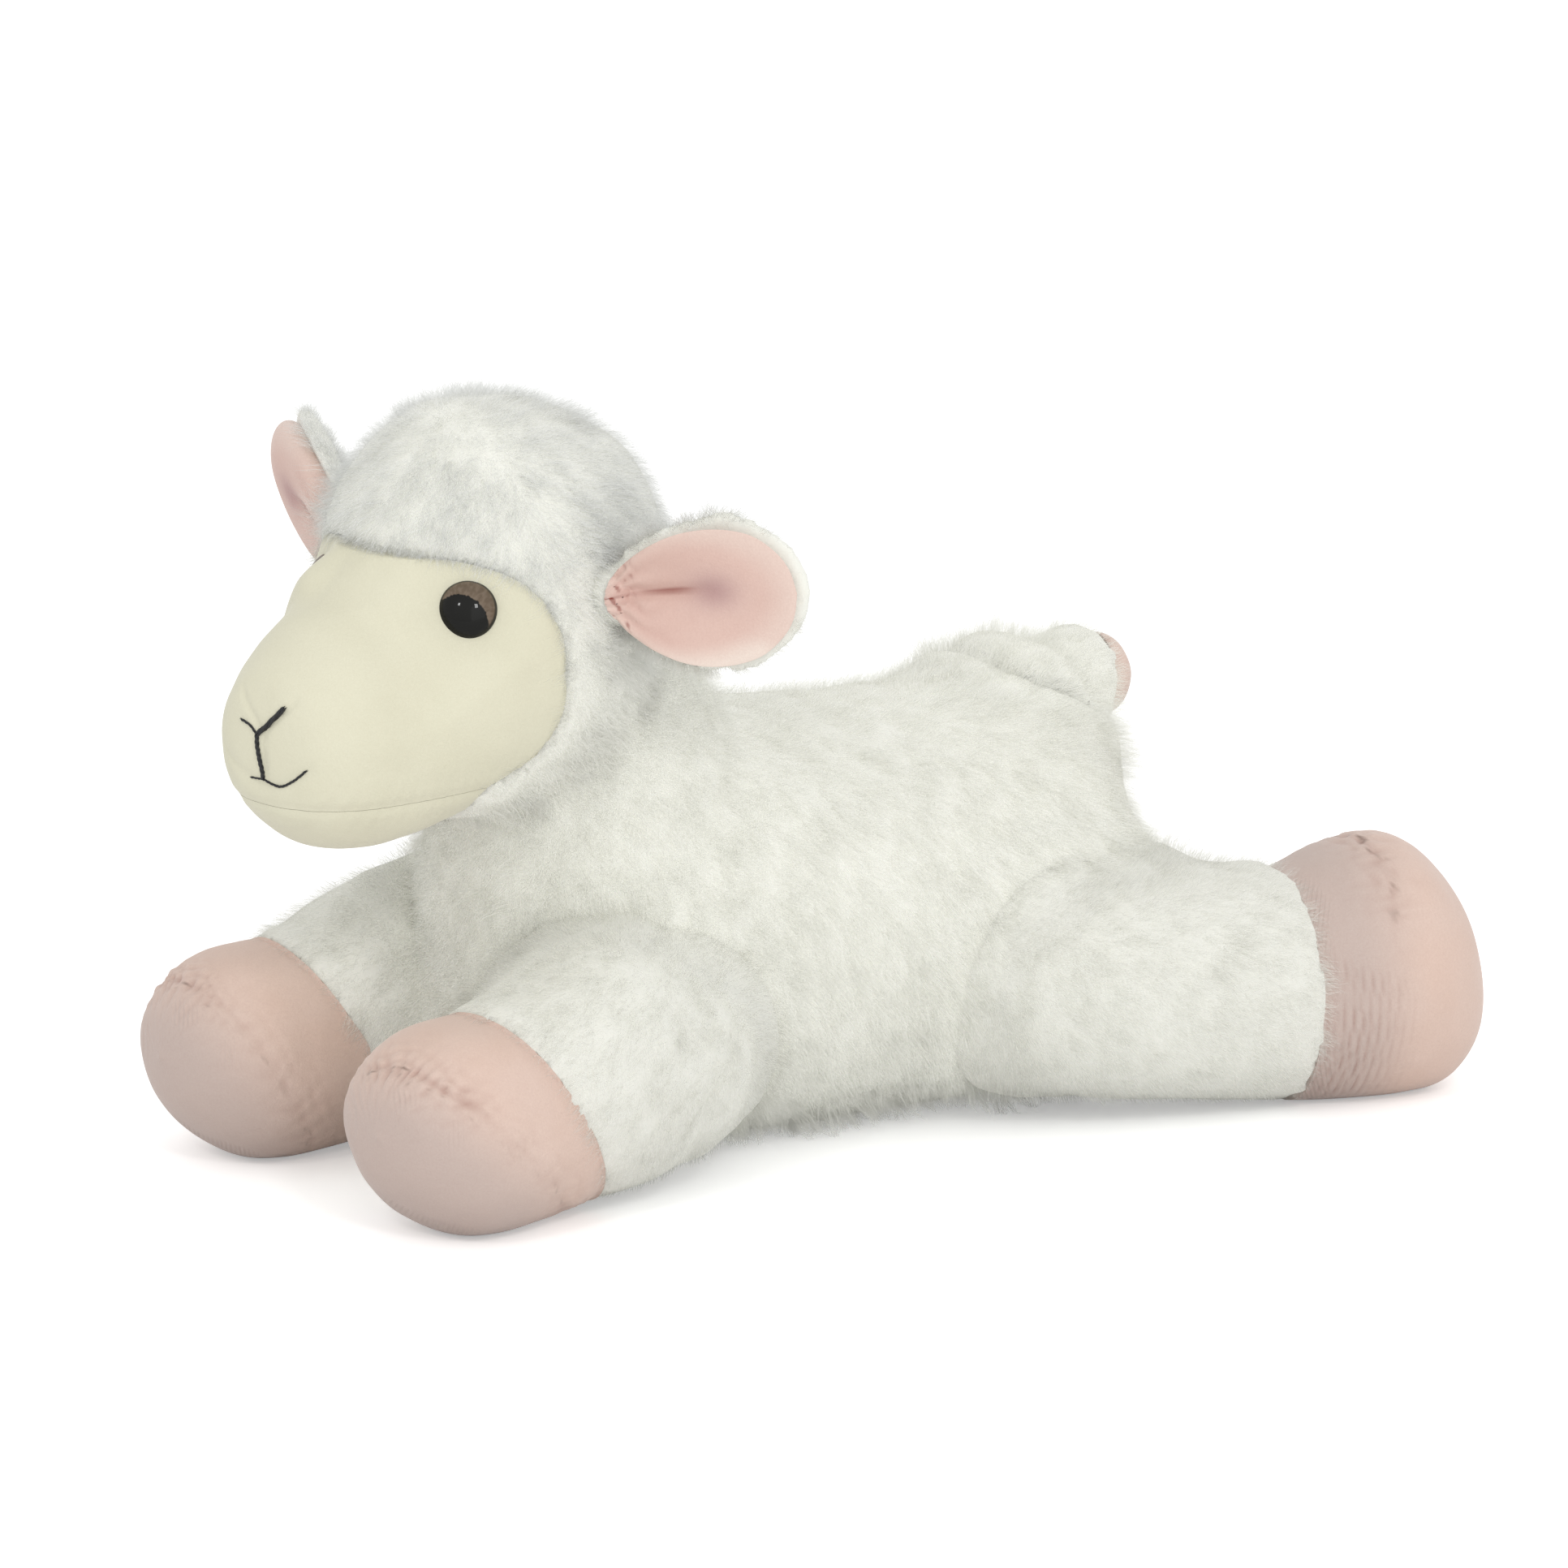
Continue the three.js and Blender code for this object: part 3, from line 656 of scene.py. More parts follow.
def frame_at(x: float, y: float, z: float, about_z: float = 0.0, about_y: float = 0.0,
             about_x: float = 0.0) -> Matrix:
    """A frame at a place in millimetres, turned about X, then Y, then Z, in degrees."""
    spin = Matrix.Rotation(math.radians(about_z), 4, "Z")
    lean = Matrix.Rotation(math.radians(about_y), 4, "Y")
    roll = Matrix.Rotation(math.radians(about_x), 4, "X")
    return Matrix.Translation((x, y, z)) @ spin @ lean @ roll


def surface(piece: Piece) -> BVHTree:
    """A tree that finds places on a piece's surface, in metres."""
    return BVHTree.FromObject(piece, bpy.context.evaluated_depsgraph_get())


def stuffed(name: str, nodes: list[str], voxel: float, cap: float) -> Piece:
    """Builds a stuffed bag over its solids: copied, closed over, smoothed and plumped as cloth.

    Args:
        name: The piece's name.
        nodes: The frame's solids that it stands for.
        voxel: The fineness of its mesh, in millimetres.
        cap: The most that the stuffing may push it out, in millimetres.

    Returns:
        The bag.
    """
    copies = []
    for node in nodes:
        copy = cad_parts[node].copy()
        copy.data = copy.data.copy()
        bpy.context.scene.collection.objects.link(copy)
        copy.parent = None
        copy.matrix_world = Matrix()
        copy.hide_render = False
        copy.hide_set(False)
        copies.append(copy)
    pick(*copies)
    if len(copies) > 1:
        bpy.ops.object.join()
    piece = renamed(name)
    piece.data.materials.clear()
    for extra in list(piece.keys()):
        del piece[extra]
    closed(piece)
    modify(piece, "REMESH", mode="VOXEL", voxel_size=voxel * MM, use_smooth_shade=True)
    keep_outer(piece)
    modify(piece, "SMOOTH", factor=0.5, iterations=6)
    plump(piece, cap)
    return closed(piece, 80)


def keep_outer(piece: Piece) -> None:
    """Keeps a mesh's largest loose part, and drops what the remesh left inside it."""
    with editing(piece):
        bpy.ops.mesh.separate(type="LOOSE")
    parts = [part for part in bpy.context.selected_objects if part.type == "MESH"]
    if len(parts) < 2:
        return
    largest = max(parts, key=lambda part: part.dimensions.length)
    mesh = largest.data.copy()
    for part in parts:
        if part != piece:
            bpy.data.objects.remove(part)
    piece.data = mesh
    mesh.name = piece.name


def plump(piece: Piece, cap: float, pressure: float = 4.0, frames: int = 14) -> None:
    """Blows a bag up as cloth, and holds each point within a distance of where it was.

    Args:
        piece: The bag.
        cap: The most that a point may move, in millimetres.
        pressure: The push of the stuffing.
        frames: How long the cloth settles.
    """
    if cap <= 0:
        return
    before = read(piece)[0]
    pick(piece)
    cloth = piece.modifiers.new("cloth", "CLOTH")
    cloth.settings.quality = 5
    cloth.settings.mass = 0.02
    cloth.settings.use_pressure = True
    cloth.settings.uniform_pressure_force = pressure
    cloth.settings.effector_weights.gravity = 0
    cloth.settings.tension_stiffness = 25
    cloth.settings.bending_stiffness = 0.4
    cloth.point_cache.frame_end = frames
    for step in range(1, frames + 1):
        bpy.context.scene.frame_set(step)
    pick(piece)
    bpy.ops.object.modifier_apply(modifier=cloth.name)
    bpy.context.scene.frame_set(1)
    move = read(piece)[0] - before
    far = np.linalg.norm(move, axis=1, keepdims=True)
    held = move * np.minimum(1, cap / np.maximum(far, 1e-9))
    places = before + held
    places[:, 2] = np.maximum(places[:, 2], 0.02)
    write(piece, places)
    LOG.info("%s: plumped by up to %.2f mm", piece.name, float(far.max()))


# Pile


@dataclass(frozen=True)
class PileMass:
    """The dense lower part of the pile, to which a bag is swelled, lengths in millimetres.

    Attributes:
        depth: How deep it is.
        tufts: How far its tufts rise and fall.
        bridge: How much deeper it is in the valley between two bags.
        valley: How far from the other bag it is deepest.
        spread: How far the bridge spreads from there.
        contact: The distances within which it presses on the other bag and carries no bridge.
        meeting: The distances at which the two bags' normals part.
        ground: The height that pile on the ground keeps.
    """

    depth: float = 1.1
    tufts: float = 0.22
    bridge: float = 4.6
    valley: float = 4.0
    spread: float = 5.5
    contact: tuple[float, float] = (0.3, 2.0)
    meeting: tuple[float, float] = (1.5, 10.0)
    ground: float = 0.3

    def swell(self, bag: Piece, cover: Measure, beside: list[BVHTree], seed: int) -> None:
        """Swells a bag, and keeps how deep each place lies in a valley, with its evened normal.

        Args:
            bag: The bag.
            cover: How thick the pile is at places with normals, from 0 to 1.
            beside: The surfaces of the other bags.
            seed: The pattern's seed.
        """
        places, normals = read(bag)
        thick = softened(bag, cover(places, normals), 5)
        found = [nearest_skin(beside, place) for place in places]
        reach, others = np.array([entry[0] for entry in found]), np.array([entry[1] for entry in found])
        valley = bell(reach - self.valley, self.spread) * eased(reach, *self.contact)
        valley = softened(bag, valley, 4)
        tufts = 0.55 * waves(places, 12, seed) + 0.3 * waves(places, 6, seed + 1, 11)
        rise = self.depth + self.tufts * tufts + self.bridge * valley
        swelled = places + normals * (thick * rise)[:, None]
        swelled[:, 2] = np.maximum(swelled[:, 2], np.minimum(places[:, 2], self.ground))
        write(bag, swelled)
        meet = softened(bag, 0.5 * (1 - eased(reach, *self.meeting)), 10)[:, None]
        even = np.stack([softened(bag, normals[:, axis], 25) for axis in range(3)], axis=1)
        even = unit(even * (1 - meet) + others * meet).astype(np.float32)
        deep = bag.data.attributes.new("valley", "FLOAT", "POINT")
        deep.data.foreach_set("value", valley.astype(np.float32))
        keep_layer(bag, "even", even)
        bag.data.normals_split_custom_set_from_vertices(even)


def nearest_skin(trees: list[BVHTree], place: Array, far: float = 12.0) -> tuple[float, Array]:
    """How far a place is from the nearest of some surfaces, in millimetres, and that surface's normal."""
    best = (far, np.array([0.0, 0.0, 1.0]))
    for tree in trees:
        point, normal, _, distance = tree.find_nearest(Vector(place * MM), far * MM)
        if point is not None and distance / MM < best[0]:
            best = (distance / MM, np.array(normal))
    return best


def softened(piece: Piece, numbers: Array, times: int) -> Array:
    """Evens numbers on a mesh's vertices out between neighbours."""
    edges = np.empty(len(piece.data.edges) * 2, np.int32)
    piece.data.edges.foreach_get("vertices", edges)
    first, second = edges.reshape(-1, 2).T
    beside = np.bincount(edges, minlength=len(numbers)) + 1
    for _ in range(times):
        total = numbers + np.bincount(first, numbers[second], len(numbers))
        total += np.bincount(second, numbers[first], len(numbers))
        numbers = total / beside
    return numbers


@dataclass(frozen=True)
class Habit:
    """How every strand grows, whichever piece it is on, lengths in millimetres and shares from 0 to 1.

    Attributes:
        thin: The share of its length that a strand keeps where the pile is thinnest.
        uneven: How much sizes change from place to place, as a share.
        patch: How broad the places are.
        sizes: The least and the greatest share that chance gives a tuft.
        scatter: How unevenly tufts lean, in degrees.
        upright: How much less they lean in the valley between two bags, in degrees.
        longer: How much longer they are there, as a share.
        winds: The least and the greatest turn of a curl, in radians.
        curls: The least and the greatest share of the curl's radius.
        droop: How much a tuft's rise falls off towards its tip, as a share.
        trail: How much further its tip reaches, as a share.
        frizz: How far strands stray at their tips.
        bow: How far they stray halfway.
        reach: The least and the greatest share of its tuft's length that a strand has.
        facing: How unevenly ribbons face outwards.
        taper: How much narrower a ribbon is at its tip, as a share.
        ground: The least height of a strand, and how much chance adds to it.
    """

    thin: float = 0.25
    uneven: float = 0.12
    patch: float = 9.0
    sizes: tuple[float, float] = (0.82, 1.22)
    scatter: float = 8.0
    upright: float = 26.0
    longer: float = 0.2
    winds: tuple[float, float] = (2.6, 5.0)
    curls: tuple[float, float] = (0.5, 1.3)
    droop: float = 0.22
    trail: float = 0.18
    frizz: float = 0.3
    bow: float = 0.22
    reach: tuple[float, float] = (0.72, 1.12)
    facing: float = 0.1
    taper: float = 0.55
    ground: tuple[float, float] = (0.05, 0.3)


@dataclass
class Fleece:
    """Curled pile on a stuffed bag: tufts of thin tapered strands.

    Attributes:
        tufts: How many tufts it has.
        length: Their length, in millimetres.
        lean: How far they lie over, in degrees.
        comb: The way they are combed, from places to directions.
        spread: The radius of a tuft's root, in millimetres.
        gather: How far a tuft closes at its tip, from 0 to 1.
        curl: The radius of its curl, in millimetres.
        width: A strand's width at its root, in millimetres.
        seed: The pattern's seed.
        ruffle: How far tufts stray from the combed way.
        knots: Points along a strand.
        sunk: How deep roots start under the bag's surface, in millimetres.
        habit: How all strands grow.
    """

    name: str
    tufts: int
    strands: int
    length: float
    lean: float
    comb: Spread
    spread: float = 1.9
    gather: float = 0.35
    curl: float = 0.6
    width: float = 0.1
    seed: int = 1
    ruffle: float = 0.35
    knots: int = 3
    sunk: float = 0.5
    habit: Habit = Habit()

    def grow(self, bag: Piece, weight: Measure, zone: Spread | None = None) -> Piece:
        """Grows the pile.

        Args:
            bag: The bag that carries it.
            weight: How long it is, from 0 to 1, from the places and normals of the bag's faces.
            zone: The share of a place's tufts that this piece holds.

        Returns:
            The strands, as one mesh.
        """
        chance = np.random.default_rng(self.seed)
        root, up, soft, size, deep = self.roots(bag, weight, zone, chance)
        along = self.comb(root) + self.ruffle * chance.normal(size=(len(root), 3))
        along = unit(along - up * (along * up).sum(axis=1, keepdims=True))
        over = np.cross(up, along)
        each = self.strands
        path = self.tuft_path(root - up * self.sunk, up, along, over, size, deep, chance)
        return self.ribbons(path, soft, along, over, size, each, chance)

    def roots(self, bag: Piece, weight: Measure, zone: Spread | None, chance: Chance) -> tuple[Array, ...]:
        """Spreads the tufts over the bag's faces.

        Args:
            bag: The bag.
            weight: As grow takes it.
            zone: As grow takes it.
            chance: The source of chance.

        Returns:
            The tufts' places, normals, evened normals, sizes and depths in a valley.
        """
        mesh = bag.data
        mesh.calc_loop_triangles()
        corners = np.empty(len(mesh.loop_triangles) * 3, np.int32)
        mesh.loop_triangles.foreach_get("vertices", corners)
        corners = corners.reshape(-1, 3)
        places, normals = read(bag)
        a, b, c = (places[corners[:, k]] for k in range(3))
        cross = np.cross(b - a, c - a)
        area = np.linalg.norm(cross, axis=1) / 2
        facing = cross / np.maximum(2 * area[:, None], 1e-9)
        middle = (a + b + c) / 3
        worth = np.clip(weight(middle, facing), 0, 1)
        odds = area * eased(worth, 0.02, 0.3) * (1 if zone is None else zone(middle))
        chosen = chance.choice(len(odds), self.tufts, p=odds / odds.sum())
        u, v = chance.random((2, self.tufts, 1))
        flip = (u + v) > 1
        u, v = np.where(flip, 1 - u, u), np.where(flip, 1 - v, v)
        root = a[chosen] + u * (b - a)[chosen] + v * (c - a)[chosen]
        valley, evened = np.zeros(len(places), np.float32), normals.astype(np.float32)
        if "valley" in mesh.attributes:
            mesh.attributes["valley"].data.foreach_get("value", valley)
            flat = np.empty(len(places) * 3, np.float32)
            mesh.attributes["even"].data.foreach_get("vector", flat)
            evened = flat.reshape(-1, 3)
        kept = []
        for source in (normals, evened):
            na, nb, nc = (source[corners[chosen, k]] for k in range(3))
            kept.append(unit(na * (1 - u - v) + nb * u + nc * v))
        habit = self.habit
        size = habit.thin + (1 - habit.thin) * np.clip(worth[chosen], 0, 1)
        patches = 1 + habit.uneven * np.clip(waves(root, habit.patch, self.seed), -1, 1)
        size *= patches * chance.uniform(*habit.sizes, self.tufts)
        return root, *kept, size, np.clip(valley[corners[chosen, 0]] * 1.6, 0, 1)

    def tuft_path(self, root: Array, up: Array, along: Array, over: Array, size: Array, deep: Array,
                  chance: Chance) -> Array:
        """Winds the middle line of each tuft: longer and less leant in the valley between two bags.

        Args:
            root: The tufts' roots.
            up: The bag's normals there.
            along: The combed directions.
            over: The directions across them.
            size: The tufts' sizes.
            deep: How deep they lie in a valley, from 0 to 1.
            chance: The source of chance.

        Returns:
            The lines, tuft by knot by axis.
        """
        habit, column = self.habit, (len(root), 1)
        lean = self.lean - habit.upright * deep + habit.scatter * chance.normal(size=len(root))
        lean = np.radians(lean)[:, None]
        size = size * (1 + habit.longer * deep)
        turn = chance.uniform(0, 2 * math.pi, column)
        winds = chance.choice([-1.0, 1.0], column) * chance.uniform(*habit.winds, column)
        radius = self.curl * chance.uniform(*habit.curls, column) * size[:, None]
        lines = []
        for knot in range(self.knots):
            t = knot / (self.knots - 1)
            rise = self.length * size[:, None] * (t * np.cos(lean) * (1 - habit.droop * t))
            reach = self.length * size[:, None] * (t * np.sin(lean) + habit.trail * t * t)
            swing = radius * t * np.cos(turn + winds * t)
            sway = radius * t * np.sin(turn + winds * t)
            point = root + up * (rise + self.sunk * t + 0.4 * sway)
            lines.append(point + along * (reach + 0.5 * sway) + over * swing)
        return np.stack(lines, axis=1)

    def ribbons(self, path: Array, up: Array, along: Array, over: Array, size: Array, each: int,
                chance: Chance) -> Piece:
        """Turns tufts into ribbons.

        Args:
            path: The tufts' middle lines, tuft by knot by axis.
            up: The bag's normals at the tufts.
            along: The combed directions.
            over: The directions across them.
            size: The tufts' sizes.
            each: Strands in a tuft.
            chance: The source of chance.

        Returns:
            The strands' mesh.
        """
        habit, tufts, knots = self.habit, len(path), self.knots
        radial = self.spread * np.sqrt(chance.random((tufts, each, 1)))
        angle = chance.uniform(0, 2 * math.pi, (tufts, each, 1))
        foot = radial * (np.cos(angle) * along[:, None] + np.sin(angle) * over[:, None])
        frizz = chance.normal(size=(tufts, each, 3)) * habit.frizz
        bow = chance.normal(size=(tufts, each, 3)) * habit.bow
        reach = chance.uniform(*habit.reach, (tufts, each, 1))
        points = []
        for knot in range(knots):
            t = knot / (knots - 1)
            close = 1 - self.gather * t
            wander = frizz * t * t + bow * math.sin(math.pi * t)
            middle = path[:, :1] + (path[:, knot:knot + 1] - path[:, :1]) * reach
            points.append(middle + foot * close + wander)
        points = np.stack(points, axis=2).reshape(-1, knots, 3)
        lowest, spare = habit.ground
        points[..., 2] = np.maximum(points[..., 2], lowest + spare * chance.random((len(points), 1)))
        return self.mesh(points, np.repeat(up, each, axis=0), np.repeat(size, each), chance)

    def mesh(self, points: Array, normal: Array, size: Array, chance: Chance) -> Piece:
        """Gives each strand its width, its faces and its layer.

        Args:
            points: The strands' knots, strand by knot by axis.
            normal: The evened normals at their roots.
            size: The strands' sizes.
            chance: The source of chance.

        Returns:
            The strands' mesh.
        """
        count, knots = points.shape[:2]
        step = unit(np.gradient(points, axis=1))
        facing = normal[:, None] + self.habit.facing * chance.normal(size=(count, 1, 3))
        across = unit(np.cross(step, facing))
        t = np.linspace(0, 1, knots)[None, :, None]
        half = self.width / 2 * (1 - self.habit.taper * t) * np.sqrt(size)[:, None, None]
        first, second = points - across * half, points + across * half
        strip = np.stack([first, second], axis=2)[:, :-1].reshape(count, -1, 3)
        verts = np.concatenate([strip, points[:, -1:]], axis=1)
        per = verts.shape[1]
        quads = [(2 * k, 2 * k + 1, 2 * k + 3, 2 * k + 2) for k in range(knots - 2)]
        tip = (per - 3, per - 2, per - 1)
        base = (np.arange(count) * per)[:, None]
        loops = np.concatenate([base + np.array(quads).ravel(), base + np.array(tip)], axis=1).ravel()
        sizes = np.tile([4] * len(quads) + [3], count)
        piece = raw_mesh(self.name, verts.reshape(-1, 3), loops, sizes)
        along = np.tile(np.append(np.repeat(np.linspace(0, 1, knots)[:-1], 2), 1.0), count)
        own = np.repeat(chance.random(count), per)
        keep_layer(piece, "strand", np.stack([own, along, own], axis=1))
        return piece


def raw_mesh(name: str, verts: Array, loops: Array, sizes: Array) -> Piece:
    """Adds a mesh from arrays.

    Args:
        name: The piece's name.
        verts: Places in millimetres.
        loops: The faces' corners, one face after another.
        sizes: How many corners each face has.

    Returns:
        The object.
    """
    mesh = bpy.data.meshes.new(name)
    mesh.vertices.add(len(verts))
    mesh.vertices.foreach_set("co", (verts * MM).astype(np.float32).ravel())
    mesh.loops.add(len(loops))
    mesh.loops.foreach_set("vertex_index", loops.astype(np.int32))
    mesh.polygons.add(len(sizes))
    mesh.polygons.foreach_set("loop_start", (np.cumsum(sizes) - sizes).astype(np.int32))
    mesh.polygons.foreach_set("use_smooth", np.ones(len(sizes), bool))
    mesh.update(calc_edges=True)
    piece = bpy.data.objects.new(name, mesh)
    bpy.context.scene.collection.objects.link(piece)
    return piece


def bare_near(others: list[BVHTree], reach: float) -> Measure:
    """Tells how open each face of a bag is: a face pressed against another bag carries no pile.

    Args:
        others: The surfaces of the other bags.
        reach: How near they cover it, in millimetres.

    Returns:
        A function from places and normals to 0 or 1.
    """
    def openness(places: Array, facing: Array) -> Array:
        """Casts a short ray out of each face."""
        free = np.ones(len(places))
        for i, (place, way) in enumerate(zip(places * MM, facing)):
            start, aim = Vector(place), Vector(way)
            for other in others:
                hit = other.ray_cast(start, aim, reach * MM)[0]
                if hit is not None:
                    free[i] = 0
                    break
                near, skin_normal, _, _ = other.find_nearest(start, INSIDE_WITHIN)
                if near is not None and (start - near).dot(skin_normal) < 0:
                    free[i] = 0
                    break
        return free

    return openness


def dress(piece: Piece, material: Material, body: str, slot: str, *stands_for: str,
          fill: float | None = None) -> Piece:
    """Gives a piece its material and its body, and hides the solids that it stands for.

    Args:
        piece: The piece.
        material: Its material.
        body: The body that it rides on.
        slot: Not used.
        stands_for: The frame's solids that it replaces.
        fill: Not used.

    Returns:
        The piece.
    """
    piece.data.materials.clear()
    piece.data.materials.append(material)
    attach(piece, body)
    if stands_for:
        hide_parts(*stands_for)
    LOG.info("%s: %d faces on %s", piece.name, len(piece.data.polygons), body)
    return piece


# Sub-assemblies


class Finishes:
    """One material for each finish, shared by the pieces."""

    def __init__(self) -> None:
        """Makes each material."""
        self.pile = PileFinish().material()
        self.backing = BackingFinish().material()
        # The legs' pile and backing are darker copies of the body's: painted shade that evens out the light
        # on the legs' upper sides.
        self.leg_pile = PileFinish(
            "wool_strands_leg", root=(0.757, 0.752, 0.695), tip=(0.775, 0.775, 0.72),
            cool=(0.775, 0.775, 0.72), low=(0.74, 0.74, 0.687), shadow=(0.766, 0.766, 0.71),
        ).material()
        self.leg_backing = BackingFinish(
            "wool_backing_leg", light=(0.765, 0.765, 0.708), dark=(0.76, 0.76, 0.698),
        ).material()
        # Each velour's crease colour is the painted shade in its valleys, and also the tone of its darker
        # fibres.
        self.face = VelourFinish(
            "face_velour_cream", light=(0.69, 0.67, 0.525), deep=(0.66, 0.64, 0.495),
            crease=(0.5, 0.45, 0.32), sole=(0.66, 0.64, 0.495), pale=(0.78, 0.775, 0.69),
        ).material()
        self.pink = VelourFinish(
            "hoof_velour_pink", light=(0.7, 0.545, 0.47), deep=(0.68, 0.515, 0.435),
            crease=(0.36, 0.2, 0.165), sole=(0.545, 0.445, 0.4), ribs=0.5,
        ).material()
        # The ear's sole colour is the painted mauve shadow at its fold's end, and its line colour the painted
        # shade along the fold.
        self.ear = VelourFinish(
            "ear_velour_pink", light=(0.69, 0.5, 0.435), deep=(0.65, 0.455, 0.395), crease=(0.42, 0.2, 0.17),
            sole=(0.5, 0.35, 0.34), line=(0.2, 0.02, 0.01), pale=(0.8, 0.7, 0.62),
        ).material()
        self.eye = EyeFinish().material()
        self.thread = PlainFinish(
            "embroidery_thread", light=(0.016, 0.016, 0.018), dark=(0.004, 0.004, 0.005), grain=0.0004,
            roughness=0.55, depth=0.0001,
        ).material()
        self.washer = PlainFinish(
            "washer_plastic_white", light=(0.85, 0.84, 0.8), dark=(0.8, 0.79, 0.75), grain=0.002,
            roughness=0.45, depth=0.00005,
        ).material()


@dataclass
class Torso:
    """The body bag with its neck. The ends of its zones of pile are in millimetres along X."""

    finishes: Finishes
    tufts: int = 5600
    strands: int = 7
    neck_end: tuple[float, float] = (-24.0, -18.0)
    rear_start: tuple[float, float] = (17.0, 23.0)

    def build(self) -> Piece:
        """Builds the stuffed bag."""
        bag = stuffed("body_bag", ["body_cover", "body_filling"], voxel=1.5, cap=0.8)
        return dress(bag, self.finishes.backing, "torso", "wool_pile", "body_cover", "body_filling",
                     "belly_bead_bag", fill=0.8)

    def comb(self, places: Array) -> Array:
        """The pile hangs down the flanks and lies back along the spine."""
        way = np.tile([0.55, 0.0, -0.9], (len(places), 1))
        way[:, 2] += eased(places[:, 2], 55, 80) * 0.5
        return way

    def cover(self, places: Array, facing: Array) -> Array:
        """The pile's depth over the bag, as a share."""
        return under(places, facing)

    def belly(self, places: Array, facing: Array) -> Array:
        """The share of the belly's clumps, which hang along the bag's lower edge."""
        low = (1 - eased(places[:, 2], 5, 11)) * eased(places[:, 2], 0.5, 3)
        return low * (1 - eased(-facing[:, 2], 0.7, 0.95))

    def grow(self, bag: Piece, openness: Measure) -> None:
        """Grows the pile in three pieces, neck, front and rear, and the clumps under the belly.

        Args:
            bag: The body bag.
            openness: Tells how open each face of it is.
        """
        zones = [
            Fleece("neck_pile", int(self.tufts * 0.9), self.strands, length=5.0, lean=52, comb=self.comb,
                   gather=0.6, curl=1.0, ruffle=0.8, knots=4, seed=21),
            Fleece("front_body_pile", self.tufts, self.strands, length=4.4, lean=60, comb=self.comb, knots=4,
                   seed=22),
            Fleece("rear_body_pile", self.tufts, self.strands, length=4.4, lean=60, comb=self.comb, knots=4,
                   seed=23),
        ]
        shares = [
            lambda p: 1 - eased(p[:, 0], *self.neck_end),
            lambda p: eased(p[:, 0], *self.neck_end) * (1 - eased(p[:, 0], *self.rear_start)),
            lambda p: eased(p[:, 0], *self.rear_start),
        ]
        for fleece, share in zip(zones, shares):
            pile = fleece.grow(bag, lambda p, n: self.cover(p, n) * openness(p, n), share)
            dress(pile, self.finishes.pile, "torso", "wool_pile")
        clumps = Fleece("belly_clumps", 620, 20, length=7.6, lean=54, comb=self.comb, spread=1.3, gather=0.9,
                        curl=1.2, knots=4, seed=24)
        pile = clumps.grow(bag, lambda p, n: openness(p, n) * self.belly(p, n))
        dress(pile, self.finishes.pile, "torso", "wool_pile")


def under(places: Array, facing: Array) -> Array:
    """Thins and shortens the pile that is pressed on the ground, or tucked in beside it."""
    flat = eased(-facing[:, 2], 0.8, 0.97) * (1 - eased(places[:, 2], 0.4, 3))
    return (1 - 0.85 * flat) * (0.35 + 0.65 * eased(places[:, 2], 1, 16))


@dataclass(frozen=True)
class Stitch:
    """One stroke of the embroidery.

    Attributes:
        marks: Places across the face and up from the chin, in millimetres.
        radius: The thread's radius, in millimetres.
        twist: How fast its plies wind, in radians a millimetre.
    """

    marks: tuple[tuple[float, float], ...]
    radius: float
    twist: float


